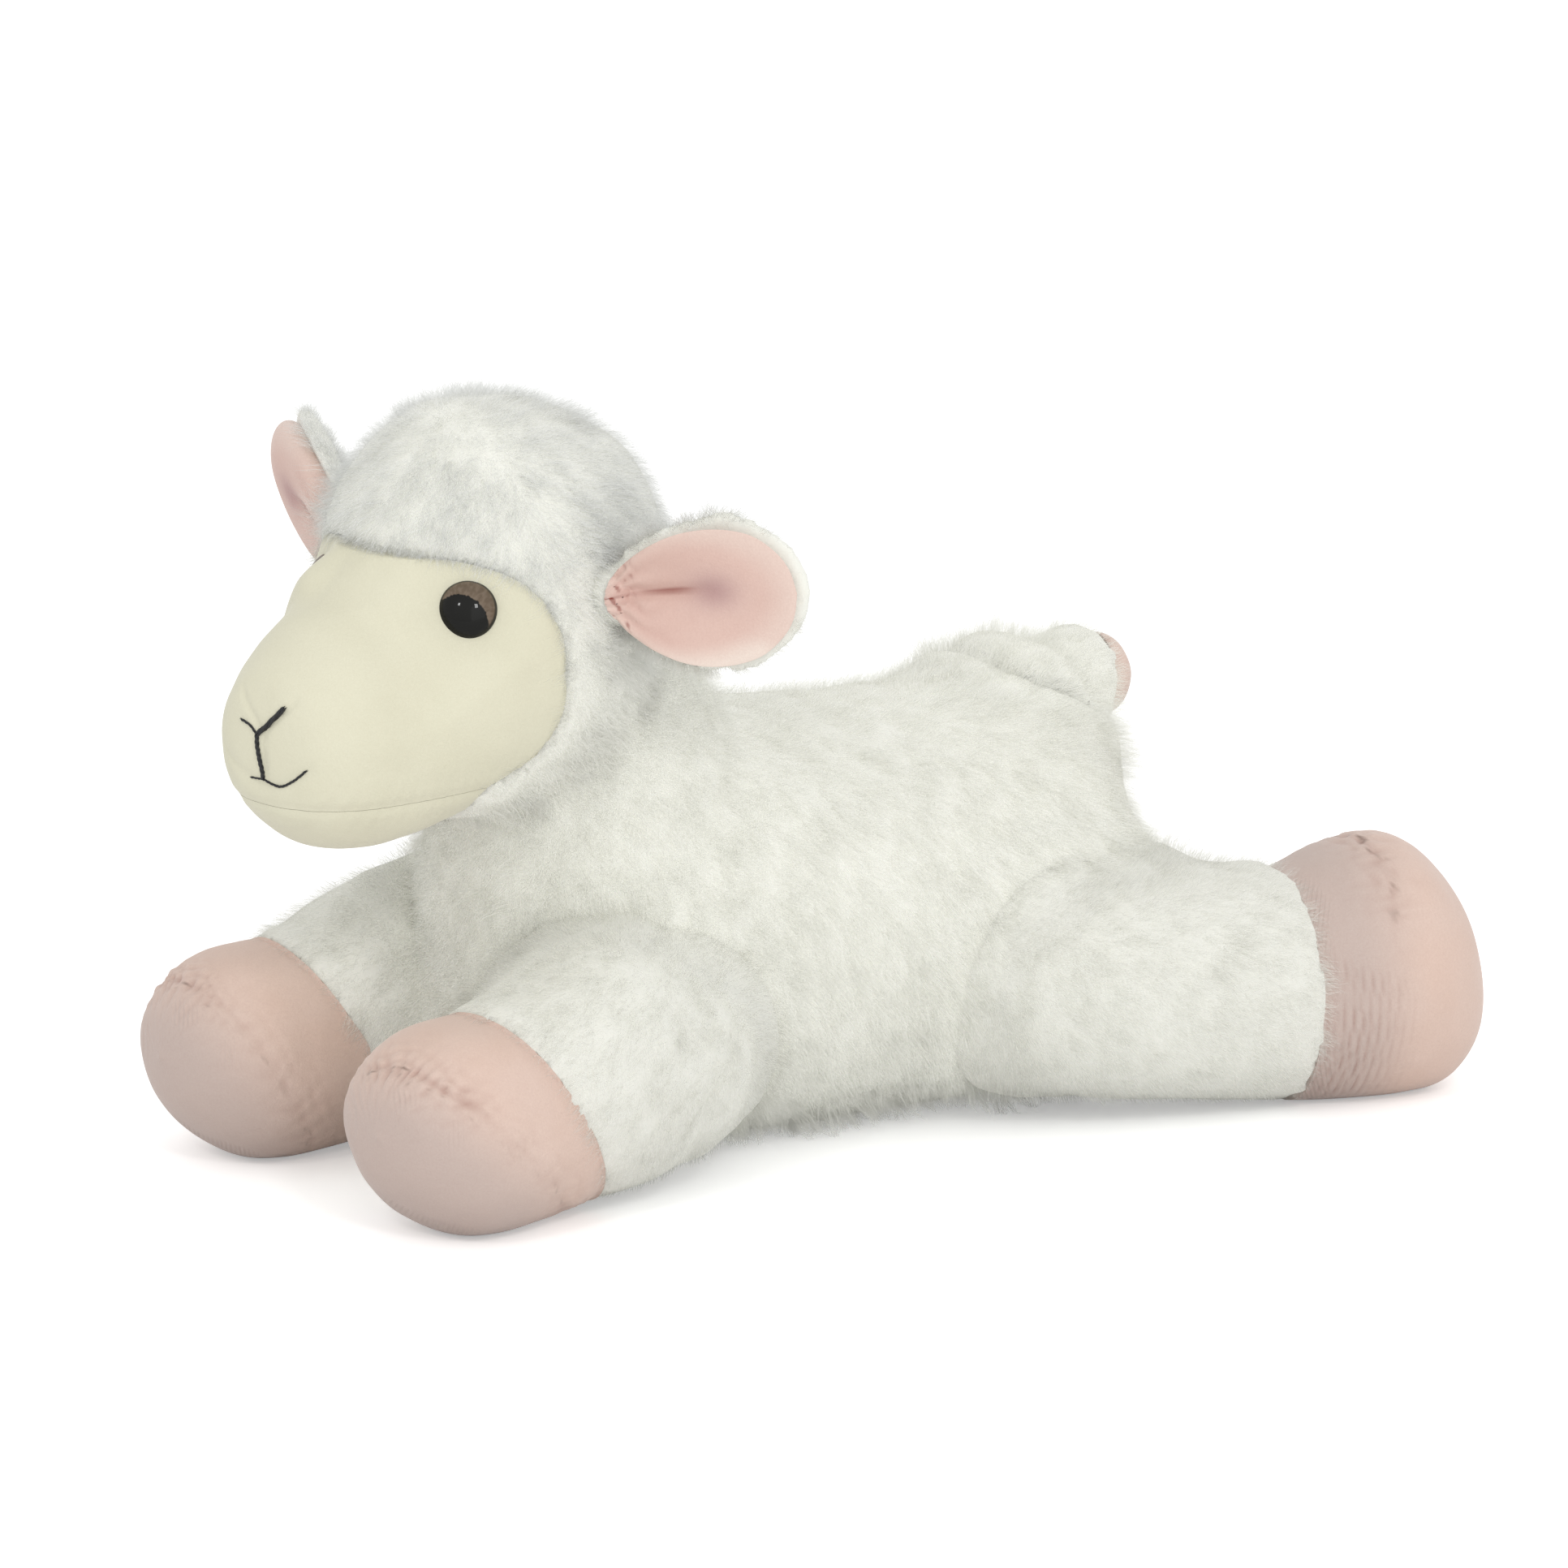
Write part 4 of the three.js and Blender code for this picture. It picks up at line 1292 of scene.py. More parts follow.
@dataclass
class Head:
    """The head: a wool hood with a smooth face and chin, button eyes and an embroidered nose and mouth.

    Lengths are in millimetres. A place in the side view is how far forward it is and how high.

    Attributes:
        front: How far the snout reaches forward.
        back: How far the crown reaches back.
        jaw: The height of the seam between the face and the chin.
        chin_back: How far forward the chin starts.
        seam_depth: How deep the seams are drawn in.
        pucker: How deep the gathers beside them are.
        eye_spot: The middle of an eye's socket in the side view.
        sockets: How deep the left and the right socket are.
        sunk: How far the left and the right button are drawn in.
        brow_spot: The middle of a brow in the side view.
        brows: How far the left and the right brow stand out.
        ear_root: Where an ear is sewn on: how far back, out and up.
        edge: The face's edge in the side view, as shares of front and height.
    """

    finishes: Finishes
    place: Matrix = field(default_factory=lambda: frame_at(-41, 0, 0, 12) @ frame_at(-22.8, 0, 57.4))
    front: float = 46.5
    back: float = 27.0
    half_width: float = 26.0
    height: float = 64.0
    jaw: float = 9.8
    chin_back: float = 11.0
    seam_depth: float = 0.75
    pucker: float = 0.14
    eye_spot: tuple[float, float] = (18.5, 38.3)
    sockets: tuple[float, float] = (0.35, 1.4)
    sunk: tuple[float, float] = (0.4, 1.9)
    brow_spot: tuple[float, float] = (26.0, 40.0)
    brows: tuple[float, float] = (0.5, 2.4)
    ear_root: tuple[float, float, float] = (3.4, 25.2, 38.4)
    edge: tuple = (
        (0.312, 0.153), (0.16, 0.21), (0.105, 0.3), (0.125, 0.43), (0.165, 0.56), (0.245, 0.655),
        (0.38, 0.705), (0.62, 0.735),
    )
    rows: tuple = (
        (0, 0, 0.305, 0.305, 0), (0.018, 0.33, 0.435, 0.155, 0), (0.068, 0.5, 0.508, 0.083, 0.05),
        (0.143, 0.61, 0.577, 0.03, 0.12), (0.245, 0.69, 0.637, 0.01, 0.25), (0.354, 0.79, 0.77, 0.02, 0.35),
        (0.456, 0.92, 0.92, 0.04, 0.3), (0.578, 1, 1, 0.07, 0.15), (0.741, 0.98, 0.985, 0.15, 0.1),
        (0.891, 0.79, 0.92, 0.28, 0.05), (0.966, 0.5, 0.81, 0.43, 0), (1, 0, 0.65, 0.65, 0),
    )
    nose: tuple[Stitch, ...] = (
        Stitch(((1.2, 20.9), (-1.3, 23.2), (-3.9, 25.8)), 0.42, 0.7),
        Stitch(((1.2, 20.9), (2.7, 22.1), (4.9, 22.7)), 0.2, 2.3),
    )
    mouth: tuple[Stitch, ...] = (
        Stitch(((1.2, 21.0), (0.9, 18.0), (0.4, 14.0)), 0.34, 2.3),
        Stitch(((0.4, 14.0), (-2.6, 13.3), (-5.3, 14.5), (-7.9, 16.6)), 0.2, 2.6),
        Stitch(((0.4, 14.0), (1.8, 13.9), (3.3, 13.8)), 0.16, 2.6),
    )
    tufts: int = 5000
    strands: int = 7

    @property
    def jaw_back(self) -> float:
        """How far forward the seam between the face and the chin starts."""
        return self.edge[0][0] * self.front

    def form(self) -> StuffedForm:
        """The whole head's form, in its own frame."""
        return StuffedForm(start=-self.front, length=self.front + self.back, half_width=self.half_width,
                           base=0, height=self.height, rows=self.rows)

    def edge_line(self) -> Array:
        """The edge of the face in the head's side view, finely stepped."""
        marks = np.array([(self.edge[0][0], self.jaw / self.height), *self.edge[1:], (1.2, self.edge[-1][1])])
        return row_at(marks * [self.front, self.height], np.linspace(0, 1, 160))

    def seam_distance(self, places: Array) -> Array:
        """How far each place is from the face's seams in the side view, in millimetres."""
        flat = np.stack([-places[:, 0], places[:, 2]], axis=1)
        jaw = np.stack([np.linspace(self.jaw_back, self.front + 4, 60), np.full(60, self.jaw)], axis=1)
        slant = np.linspace([self.jaw_back, self.jaw], [self.chin_back, 0], 30)
        line = np.concatenate([self.edge_line(), jaw, slant])
        return np.min(np.linalg.norm(flat[:, None] - line[None], axis=2), axis=1)

    def skin(self) -> Piece:
        """The whole head's smooth surface, with its seams drawn in and its sockets pressed."""
        whole = sewn("head_form", self.form(), 168, 150)
        places, normals = read(whole)
        near = self.seam_distance(places)
        pucker = np.sin(places[:, 0] * 2.6 + 1.5 * waves(places, 9, 5)) * np.exp(-near / 2.2) * self.pucker
        jaw = bell(places[:, 2] - self.jaw, 1.5)
        relief = (-self.seam_depth + 0.45 * jaw) * bell(near, 0.75) + pucker * (1 - 0.5 * jaw)
        relief += 0.16 * waves(places, 17, 3) + 0.05 * waves(places, 6, 4)
        relief += self.mouth_dent(places) + self.eye_dent(places) + self.brow_ridge(places)
        write(whole, places + normals * relief[:, None])
        # Painted shade along the seams' valleys, and the brow seam's painted shadow as a dark line.
        keep_layer(whole, "gather", np.stack([
            0.3 * bell(near, 0.6), np.zeros(len(near)), 0.35 * self.brow_line(places, near),
        ], axis=1))
        flat = np.stack([-places[:, 0], places[:, 2]], axis=1)
        rim = np.min(np.linalg.norm(flat[:, None] - self.edge_line()[None, ::2], axis=2), axis=1)
        keep_layer(whole, "pale", np.repeat(0.75 * bell(rim, 3.0)[:, None], 3, axis=1))
        return whole

    def brow_line(self, places: Array, near: Array) -> Array:
        """The brow seam's thin shadow, where the wool doesn't cover it."""
        brow = eased(-places[:, 0], 16, 20) * (1 - eased(-places[:, 0], 27, 31)) * eased(places[:, 2], 38, 42)
        return bell(near, 0.3) * brow

    def mouth_dent(self, places: Array) -> Array:
        """The thread pulls the velour in along the nose and the mouth."""
        across, rise = places[:, 1], places[:, 2]
        ahead = eased(-places[:, 0], 38, 43)
        fall = bell(across, 0.9) * eased(rise, 13.5, 15.5) * (1 - eased(rise, 21, 23))
        lip = bell(rise - (14.5 - 1.2 + 0.05 * across**2), 0.9) * (1 - eased(np.abs(across), 8, 10))
        arm = bell(rise - (21.5 + np.abs(across) * 0.93), 0.9) * (1 - eased(np.abs(across), 5, 6.5))
        return -0.32 * ahead * np.maximum(np.maximum(fall, lip), arm)

    def eye_dent(self, places: Array) -> Array:
        """A shallow socket where each eye's shank pulls the face in."""
        left, right = self.sockets
        away = np.hypot(-places[:, 0] - self.eye_spot[0], places[:, 2] - self.eye_spot[1])
        return np.where(places[:, 1] > 0, -right, -left) * bell(away, 4.6) + 0.3 * bell(away - 8.0, 2.2)

    def brow_ridge(self, places: Array) -> Array:
        """The stuffed forehead stands proud ahead of each eye."""
        left, right = self.brows
        away = np.hypot(-places[:, 0] - self.brow_spot[0], (places[:, 2] - self.brow_spot[1]) * 0.75)
        return np.where(places[:, 1] > 0, right, left) * bell(away, 5.0) * eased(np.abs(places[:, 1]), 3, 8)

    def prism(self, name: str, outline: Array) -> Piece:
        """A cutter across the head: a flat outline, extruded.

        Args:
            name: The cutter's name.
            outline: Its corners in the side view, forward and up, in millimetres.

        Returns:
            The cutter, in the head's frame.
        """
        bpy.ops.object.select_all(action="DESELECT")
        bpy.ops.mesh.primitive_circle_add(vertices=len(outline), fill_type="NGON", radius=1.0)
        piece = renamed(name)
        write(piece, np.stack([-outline[:, 0], np.full(len(outline), -40.0), outline[:, 1]], axis=1))
        with editing(piece):
            bpy.ops.mesh.extrude_region_move(TRANSFORM_OT_translate={"value": (0, 80 * MM, 0)})
        return closed(piece)

    def panel(self, whole: Piece, name: str, outline: Array) -> Piece:
        """Cuts one panel from the head's surface.

        Args:
            whole: The whole head.
            name: The panel's name.
            outline: The cutter's outline.

        Returns:
            The panel, in the lamb's frame.
        """
        cutter = self.prism(name + "_cutter", outline)
        piece = whole.copy()
        piece.data = whole.data.copy()
        bpy.context.scene.collection.objects.link(piece)
        piece.name = piece.data.name = name
        modify(piece, "BOOLEAN", object=cutter, operation="INTERSECT", solver="EXACT")
        bpy.data.objects.remove(cutter)
        moved(piece, self.place)
        return closed(piece, 50)

    def build(self) -> Piece:
        """Builds the hood, the face, the chin, the eyes and the stitches.

        Returns:
            The hood, which carries the pile.
        """
        whole = self.skin()
        ahead, below, joint = self.front + 10, -6, 0.03
        edge = self.edge_line()
        face = np.array([(ahead, self.jaw + joint), (self.jaw_back + 0.1, self.jaw + joint), *edge[4:-40:3],
                         (ahead, self.edge[-1][1] * self.height)])
        chin = np.array([(ahead, below), (ahead, self.jaw - joint), (self.jaw_back, self.jaw - joint),
                         (self.chin_back, 0), (self.chin_back, below)])
        face_panel = self.panel(whole, "face_velour_panel", face)
        chin_panel = self.panel(whole, "chin_velour_panel", chin)
        dress(face_panel, self.finishes.face, "head", "face_velour", "face_panel", fill=0.85)
        dress(chin_panel, self.finishes.face, "head", "face_velour", "chin_panel", fill=0.85)
        hood = stuffed("hood_bag", ["hood_cover", "head_filling"], voxel=1.3, cap=0.5)
        self.draw_in(hood, edge)
        dress(hood, self.finishes.backing, "head", "wool_pile", "hood_cover", "head_filling", fill=0.85)
        bpy.data.objects.remove(whole)
        self.eyes()
        face_surface = surface(face_panel)
        self.thread("nose_thread", face_surface, self.nose, "nose_stitch")
        self.thread("mouth_thread", face_surface, self.mouth, "mouth_stitch")
        return hood

    def draw_in(self, hood: Piece, edge: Array) -> None:
        """Draws the hood's own surface in behind the face, so that only the pile meets the seam."""
        places, normals = read(hood)
        inside = self.inside_face(within(places, self.place), edge)
        write(hood, places - normals * (1.2 * eased(inside, -1.5, 0.5))[:, None])

    def inside_face(self, local: Array, edge: Array) -> Array:
        """The distance in front of the face's and the chin's edge, negative behind it, in millimetres."""
        flat = np.stack([-local[:, 0], local[:, 2]], axis=1)
        rim = np.concatenate([[(self.chin_back, -9), (self.chin_back, 0)], edge])
        outline = np.concatenate([rim, [(rim[-1, 0], -9)]])
        distance = np.linalg.norm(flat[:, None] - rim[None], axis=2).min(axis=1)
        (x, z), inside = flat.T, np.zeros(len(flat), bool)
        for (ax, az), (bx, bz) in zip(outline, np.roll(outline, -1, axis=0)):
            crosses = (az > z) != (bz > z)
            inside ^= crosses & (x < ax + (z - az) * (bx - ax) / (bz - az if bz != az else 1))
        return np.where(inside, distance, -distance)

    def comb(self, places: Array) -> Array:
        """The pile falls back and down from the crown."""
        local = within(places, self.place)
        count = len(local)
        way = np.stack([np.full(count, 0.75), 0.3 * np.sign(local[:, 1]), np.full(count, -0.7)], axis=1)
        way[:, 0] -= 1.25 * eased(-local[:, 0], 2, 12) * eased(local[:, 2], 36, 48)
        return turned(way, self.place)

    def cover(self, places: Array, facing: Array) -> Array:
        """The pile's depth over the hood, as a share: full behind the face's edge, and none in front."""
        inside = self.inside_face(within(places, self.place), self.edge_line())
        return (1 - eased(inside, -0.4, 0.3)) * (0.42 + 0.58 * eased(-inside, 0, 6))

    def grow(self, hood: Piece, openness: Measure) -> None:
        """Grows the hood's pile up to the face's edge, in two halves, with its fringe and the ears' roots.

        Args:
            hood: The hood.
            openness: Tells how open each face of it is.
        """
        for name, sign, seed in (("hood_pile_left", -1, 31), ("hood_pile_right", 1, 32)):
            fleece = Fleece(name, self.tufts, self.strands, length=4.7, lean=56, comb=self.comb, gather=0.5,
                            curl=0.9, seed=seed)
            pile = fleece.grow(hood, lambda p, n: self.cover(p, n) * openness(p, n),
                               lambda p, sign=sign: (within(p, self.place)[:, 1] * sign > 0).astype(float))
            dress(pile, self.finishes.pile, "head", "wool_pile")
        self.root_pile(hood, Side.LEFT, 4.6, openness)
        self.root_pile(hood, Side.RIGHT, 7.5, openness)
        fringe = Fleece("face_fringe", 1500, self.strands, length=4.2, lean=68, comb=self.fringe_comb,
                        spread=0.8, ruffle=0.3, seed=35)
        pile = fringe.grow(hood, lambda p, n: self.fringe_cover(p, n) * openness(p, n))
        dress(pile, self.finishes.pile, "head", "wool_pile")

    def root_pile(self, hood: Piece, side: Side, length: float, openness: Measure) -> None:
        """Grows the longer tufts in a ring round an ear's root.

        Args:
            hood: The hood.
            side: The ear's side.
            length: The tufts' length, in millimetres.
            openness: Tells how open each face of the hood is.
        """
        back, out, up = self.ear_root
        root = np.array(self.place @ Vector((back, side.value * out, up)))
        outwards = root - np.array(self.place @ Vector((back, 0, up)))
        tufts = Fleece(f"ear_root_pile_{side.word}", 450, self.strands, length=length, lean=34,
                       comb=lambda p: (p - root) * 0.25 + outwards * 0.1, spread=1.2, seed=37 + side.value)
        pile = tufts.grow(hood, lambda p, n: bell(np.linalg.norm(p - root, axis=1) - 9.0, 3.5)
                          * self.cover(p, n) * openness(p, n))
        dress(pile, self.finishes.pile, "head", "wool_pile")

    def fringe_comb(self, places: Array) -> Array:
        """The fringe falls from the hood's edge over the face."""
        local = within(places, self.place)
        way = np.array([-27.0, 0.0, 24.0]) - local
        way[:, 1] = -local[:, 1] * 0.3
        return turned(way, self.place)

    def fringe_cover(self, places: Array, facing: Array) -> Array:
        """The fringe's length, as a share, just behind the face's edge."""
        local = within(places, self.place)
        inside = self.inside_face(local, self.edge_line())
        uneven = 0.75 + 0.4 * np.clip(waves(local, 6, 36), -1, 1)
        return bell(inside + 1.0, 1.1) * uneven * eased(local[:, 2], 2, 9)

    def eyes(self) -> None:
        """Builds each button over its solid's axis."""
        head_middle = np.array(self.place @ Vector((-15, 0, 35)))
        for side in Side:
            solid = read(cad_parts[f"eye_{side.word}"])[0]
            middle = solid.mean(axis=0)
            axis = np.linalg.svd(solid - middle, full_matrices=False)[2][0]
            if axis @ (middle - head_middle) < 0:
                axis = -axis
            top = (solid @ axis).max()
            self.button(side, middle + axis * (top - middle @ axis), axis)

    def button(self, side: Side, apex: Array, axis: Array, radius: float = 4.5, dome: float = 2.8,
               rim: float = 0.7, shank: float = 8.0) -> None:
        """Builds one button: a dome drawn from a ball, with a rim, a flat back and a shank.

        Args:
            side: The lamb's side.
            apex: The dome's highest point, in millimetres.
            axis: The way that it faces.
            radius: Its radius, in millimetres.
            dome: How high its dome is.
            rim: How thick its edge is.
            shank: How long its shank is.
        """
        bpy.ops.object.select_all(action="DESELECT")
        bpy.ops.mesh.primitive_uv_sphere_add(segments=64, ring_count=48, radius=1.0)
        piece = renamed(f"eye_button_{side.word}")
        unit_ball = read(piece)[0] * MM
        out = np.hypot(unit_ball[:, 0], unit_ball[:, 1])
        turn = np.arctan2(unit_ball[:, 1], unit_ball[:, 0])
        front = unit_ball[:, 2] >= -0.02
        tilt = np.arccos(np.clip(unit_ball[:, 2], -1, 1))
        reach = np.where(front, np.sin(tilt) ** 0.86, out)
        behind = -dome - rim * (1 - eased(out, 0.93, 1.0) * 0.3)
        stem = -shank * (1 - eased(out, 0.3, 0.36))
        rise = np.where(front, dome * (np.abs(unit_ball[:, 2]) ** 1.05) - dome, behind + stem)
        sideways = np.cross([0.0, 0.0, 1.0], axis)
        sideways /= np.linalg.norm(sideways)
        upward = np.cross(axis, sideways)
        disc = np.stack([reach * np.cos(turn), reach * np.sin(turn)], axis=1)
        left, right = self.sunk
        apex = apex - axis * (right if side is Side.RIGHT else left)
        places = apex + radius * (disc[:, :1] * sideways + disc[:, 1:] * upward) + rise[:, None] * axis
        write(piece, places)
        away, high = -side.value * disc[:, 0], disc[:, 1]
        keep_layer(piece, "disc", np.stack([away, high, np.zeros(len(disc))], axis=1))
        closed(piece, 40)
        dress(piece, self.finishes.eye, "head", "eye_gloss", f"eye_{side.word}")

    def thread(self, name: str, face: BVHTree, stitches: tuple[Stitch, ...], node: str) -> None:
        """Builds one embroidered shape of three-ply thread.

        Args:
            name: The piece's name.
            face: The face's surface.
            stitches: Its strokes.
            node: The frame's solid that it replaces.
        """
        plies = 3
        parts = []
        for number, stitch in enumerate(stitches):
            path = self.laid(face, np.array(stitch.marks, float), stitch.radius * 0.4)
            parts += [self.ply(f"{name}_{number}_{turn}", path, stitch, turn * 2 * math.pi / plies)
                      for turn in range(plies)]
        pick(*parts)
        bpy.ops.object.join()
        piece = renamed(name)
        closed(piece, 80)
        dress(piece, self.finishes.thread, "head", "black_thread", node)

    def laid(self, face: BVHTree, marks: Array, lift: float) -> Array:
        """Lays a line on the face.

        Args:
            face: The face's surface.
            marks: Places across the face and up from the chin.
            lift: How far the thread's middle stands off it.

        Returns:
            Finely stepped places, in the lamb's frame.
        """
        flat = row_at(marks, np.linspace(0, 1, 46))
        way = (self.place.to_3x3() @ Vector((1, 0, 0))).normalized()
        points = []
        for across, rise in flat:
            start = self.place @ Vector((-100, across, rise))
            hit, normal, _, _ = face.ray_cast(start * MM, way)
            points.append(np.array(hit) / MM + np.array(normal) * lift)
        return np.array(points)

    def ply(self, name: str, path: Array, stitch: Stitch, phase: float, sides: int = 7) -> Piece:
        """One ply of the thread, wound round its line.

        Args:
            name: The ply's name.
            path: The thread's middle line.
            stitch: The stroke that it belongs to.
            phase: Where the ply starts round it.
            sides: Faces round the ply.

        Returns:
            A closed tube with drawn-in ends.
        """
        step = np.gradient(path, axis=0)
        length = np.linalg.norm(step, axis=1)
        step /= length[:, None]
        ahead = np.array(self.place)[:3, 0] * -1
        side = np.cross(step, ahead)
        side /= np.linalg.norm(side, axis=1, keepdims=True)
        rise = np.cross(side, step)
        wound = phase + np.cumsum(length) * stitch.twist
        share = np.linspace(0, 1, len(path))
        ends = np.minimum(1, 8 * np.minimum(share, 1 - share) + 0.3)
        thick = stitch.radius * (0.62 + 0.05 * np.sin(share * 37 + phase)) * ends
        middle = path + 0.48 * stitch.radius * (np.cos(wound)[:, None] * side + np.sin(wound)[:, None] * rise)
        angle = np.linspace(0, 2 * math.pi, sides, endpoint=False)
        ring = np.cos(angle)[None, :, None] * side[:, None] + np.sin(angle)[None, :, None] * rise[:, None]
        tube = middle[:, None] + ring * thick[:, None, None]
        caps = [middle[:1] - step[:1] * 0.3, middle[-1:] + step[-1:] * 0.3]
        verts = np.concatenate([tube.reshape(-1, 3), *caps])
        loops, last = [], len(path) - 1
        for k in range(sides):
            other = (k + 1) % sides
            for j in range(last):
                loops.append((j * sides + k, j * sides + other, (j + 1) * sides + other, (j + 1) * sides + k))
            loops.append((other, k, len(verts) - 2))
            loops.append((last * sides + k, last * sides + other, len(verts) - 1))
        sizes = np.array([len(loop) for loop in loops])
        return raw_mesh(name, verts, np.array([corner for loop in loops for corner in loop]), sizes)


@dataclass
class Ear:
    """A wool ear with a pink lining, gathered at its root. Its folds are in millimetres."""

    finishes: Finishes
    head: Head
    side: Side
    rows: tuple = (
        (0, 0, 0, 1), (0.04, 0.34, 0.8, 1), (0.2, 0.68, 1, 0.95), (0.4, 0.93, 1, 0.7), (0.6, 1, 1, 0.45),
        (0.78, 0.9, 0.95, 0.3), (0.9, 0.65, 0.8, 0.2), (0.97, 0.36, 0.55, 0.1), (1, 0, 0, 0),
    )
    fold: float = 0.9
    hollow: float = 0.7
    pinch: float = 0.24
    unevenness: float = 0.12
    root_radius: float = 5.2
    tufts: int = 1200
    strands: int = 7

    @property
    def place(self) -> Matrix:
        """The ear's frame in the lamb's."""
        sign = self.side.value
        roll, lift, sweep = (40, 14.5, 63) if self.side is Side.RIGHT else (0, 6.4, 68.4)
        back, _, up = self.head.ear_root
        out = sign * self.head.half_width * 0.97
        return self.head.place @ frame_at(back, out, up, sign * sweep, -lift, -sign * roll)

    @property
    def twist(self) -> Matrix:
        """How far the stuffed ear turns on its root beyond its solids: the right one lies more open."""
        return Matrix.Rotation(math.radians(26.0 if self.side is Side.RIGHT else 0.0), 4, "X")

    @property
    def body(self) -> str:
        """The body that the ear rides on."""
        return f"ear_{self.side.word}"

    def build(self) -> Piece:
        """Builds the lining and the back, and returns the back."""
        word = self.side.word
        full, curl = (3.8, 1.6) if self.side is Side.RIGHT else (0.9, 4.2)
        form = LeafForm(start=1.1, length=30.8, half_width=10.6, half_thickness=full, curl=curl,
                        front=self.side.value, ahead=3.35, rows=self.rows)
        lining = sewn(f"ear_lining_velour_{word}", form, sides=116, rings=140)
        self.crease(lining)
        moved(lining, self.place @ self.twist)
        dress(closed(lining, 80), self.finishes.ear, self.body, "ear_velour", f"ear_lining_{word}", fill=0.3)
        back = stuffed(f"ear_bag_{word}", [f"ear_back_{word}"], voxel=0.8, cap=0.0)
        moved(back, self.place @ self.twist @ self.place.inverted())
        return dress(back, self.finishes.backing, self.body, "wool_pile", f"ear_back_{word}", fill=0.4)

    def crease(self, lining: Piece) -> None:
        """Folds the lining in along its middle from the root, with small gathers beside the fold, and paints
        shade into them.
        """
        places, _ = read(lining)
        along, high = places[:, 0], places[:, 2]
        off = high - (0.35 + 0.5 * np.sin((along - 3) / 8))
        fold = bell(off, 1.1) * (1 - eased(along, 12, 21))
        hollow = bell(off, 4.5) * (1 - eased(along, 10, 26))
        pinch = np.sin(np.arctan2(off, along + 2) * 22 + waves(places, 6, 8)) * (1 - eased(along, 3, 13))
        depth = self.fold * fold + self.hollow * hollow + self.pinch * pinch
        depth += self.unevenness * waves(places, 8, 9)
        places[:, 1] -= self.side.value * depth
        ball = np.sqrt(np.maximum(self.root_radius**2 - along**2 - high**2, 0)) + 0.3
        ahead = places[:, 1] * self.side.value
        filled = np.where(ball > 0.3, np.maximum(ball + 0.15 * pinch - ahead, 0), 0)
        places[:, 1] += self.side.value * filled
        write(lining, places)
        # Painted shade: a dark line along the fold's bottom with small dark wrinkle dots by the root, a
        # shadow at the fold's end and darker valleys in the fold and the gathers.
        thickness = 0.1 + 0.22 * bell(along - 11.5, 4)
        dots = np.clip(waves(places, 1.6, 12, 5) - 0.75, 0, 1) * 2 * (1 - eased(along, 1, 7))
        sharp = bell(off, thickness) * eased(along, -1, 3) * (1 - eased(along, 16.5, 18))
        sharp = sharp + np.clip(dots, 0, 0.6)
        shade = bell(off, 2.6) * bell(along - 18.5, 3.8)
        valley = np.clip(0.2 * fold + 0.3 * shade + 0.2 * np.maximum(pinch, 0), 0, 1)
        keep_layer(lining, "gather", np.stack([valley, shade, np.clip(sharp, 0, 1)], axis=1))
        rim = eased(np.hypot((along - 15) / 17, high / 10.8), 0.62, 1.0)
        pale = rim * np.maximum(0.45, eased(-high - 0.45 * along, -9, -2) * 0.9)
        keep_layer(lining, "pale", np.stack([pale, pale, pale], axis=1))

    def comb(self, places: Array) -> Array:
        """The pile runs out from the root to the tip."""
        return np.tile(np.array(self.place.to_3x3() @ Vector((1, 0, -0.1))), (len(places), 1))

    def cover(self, places: Array, facing: Array) -> Array:
        """The pile's depth, as a share: full on the back, short round the edge, and none under the lining."""
        spot, turn = self.spots(places, facing)
        behind = 1 - eased(turn[:, 1] * self.side.value, 0.0, 0.45)
        edge = 0.35 + 0.65 * eased(-turn[:, 1] * self.side.value, 0.0, 0.7)
        return behind * edge * eased(spot[:, 0], -4, 0) * (1 - 0.8 * eased(spot[:, 0], 22, 31))

    def grow(self, back: Piece) -> None:
        """Grows the pile on the back and round the edge of the ear."""
        self.swell(back)
        sign, word = self.side.value, self.side.word
        fleece = Fleece(f"ear_pile_{word}", self.tufts, self.strands, length=3.6, lean=55, comb=self.comb,
                        spread=1.1, seed=41 + sign)
        dress(fleece.grow(back, self.cover), self.finishes.pile, self.body, "wool_pile")
        fringe = Fleece(f"ear_fringe_{word}", self.tufts // 2, self.strands, length=6.0, lean=42,
                        comb=self.fringe_comb, spread=1.1, seed=43 + sign)
        dress(fringe.grow(back, self.fringe_cover), self.finishes.pile, self.body, "wool_pile")

    def spots(self, places: Array, facing: Array) -> tuple[Array, Array]:
        """Places and ways in the stuffed ear's own frame."""
        own = self.place @ self.twist
        return within(places, own), turned(facing, own.inverted())

    def fringe_comb(self, places: Array) -> Array:
        """The fringe stands out from the ear's edge, and leans over its lining and towards its tip."""
        own = self.place @ self.twist
        spot = within(places, own)
        side = np.full(len(spot), self.side.value * 0.9)
        return turned(np.stack([np.full(len(spot), 0.6), side, -0.3 * np.sign(spot[:, 2])], axis=1), own)

    def fringe_cover(self, places: Array, facing: Array) -> Array:
        """The fringe's length, as a share: along the upper and lower edges, and none at the tip."""
        spot, turn = self.spots(places, facing)
        rim = bell(turn[:, 1] * self.side.value + 0.1, 0.5)
        upper = eased(spot[:, 2], 0, 5) * (1 - 0.9 * eased(spot[:, 0], 22, 28))
        lower = eased(-spot[:, 2], 2, 7) * (1 - 0.6 * eased(spot[:, 0], 10, 20)) * 0.75
        return rim * np.maximum(upper, lower) * (0.85 + 0.25 * waves(spot, 7, 45))

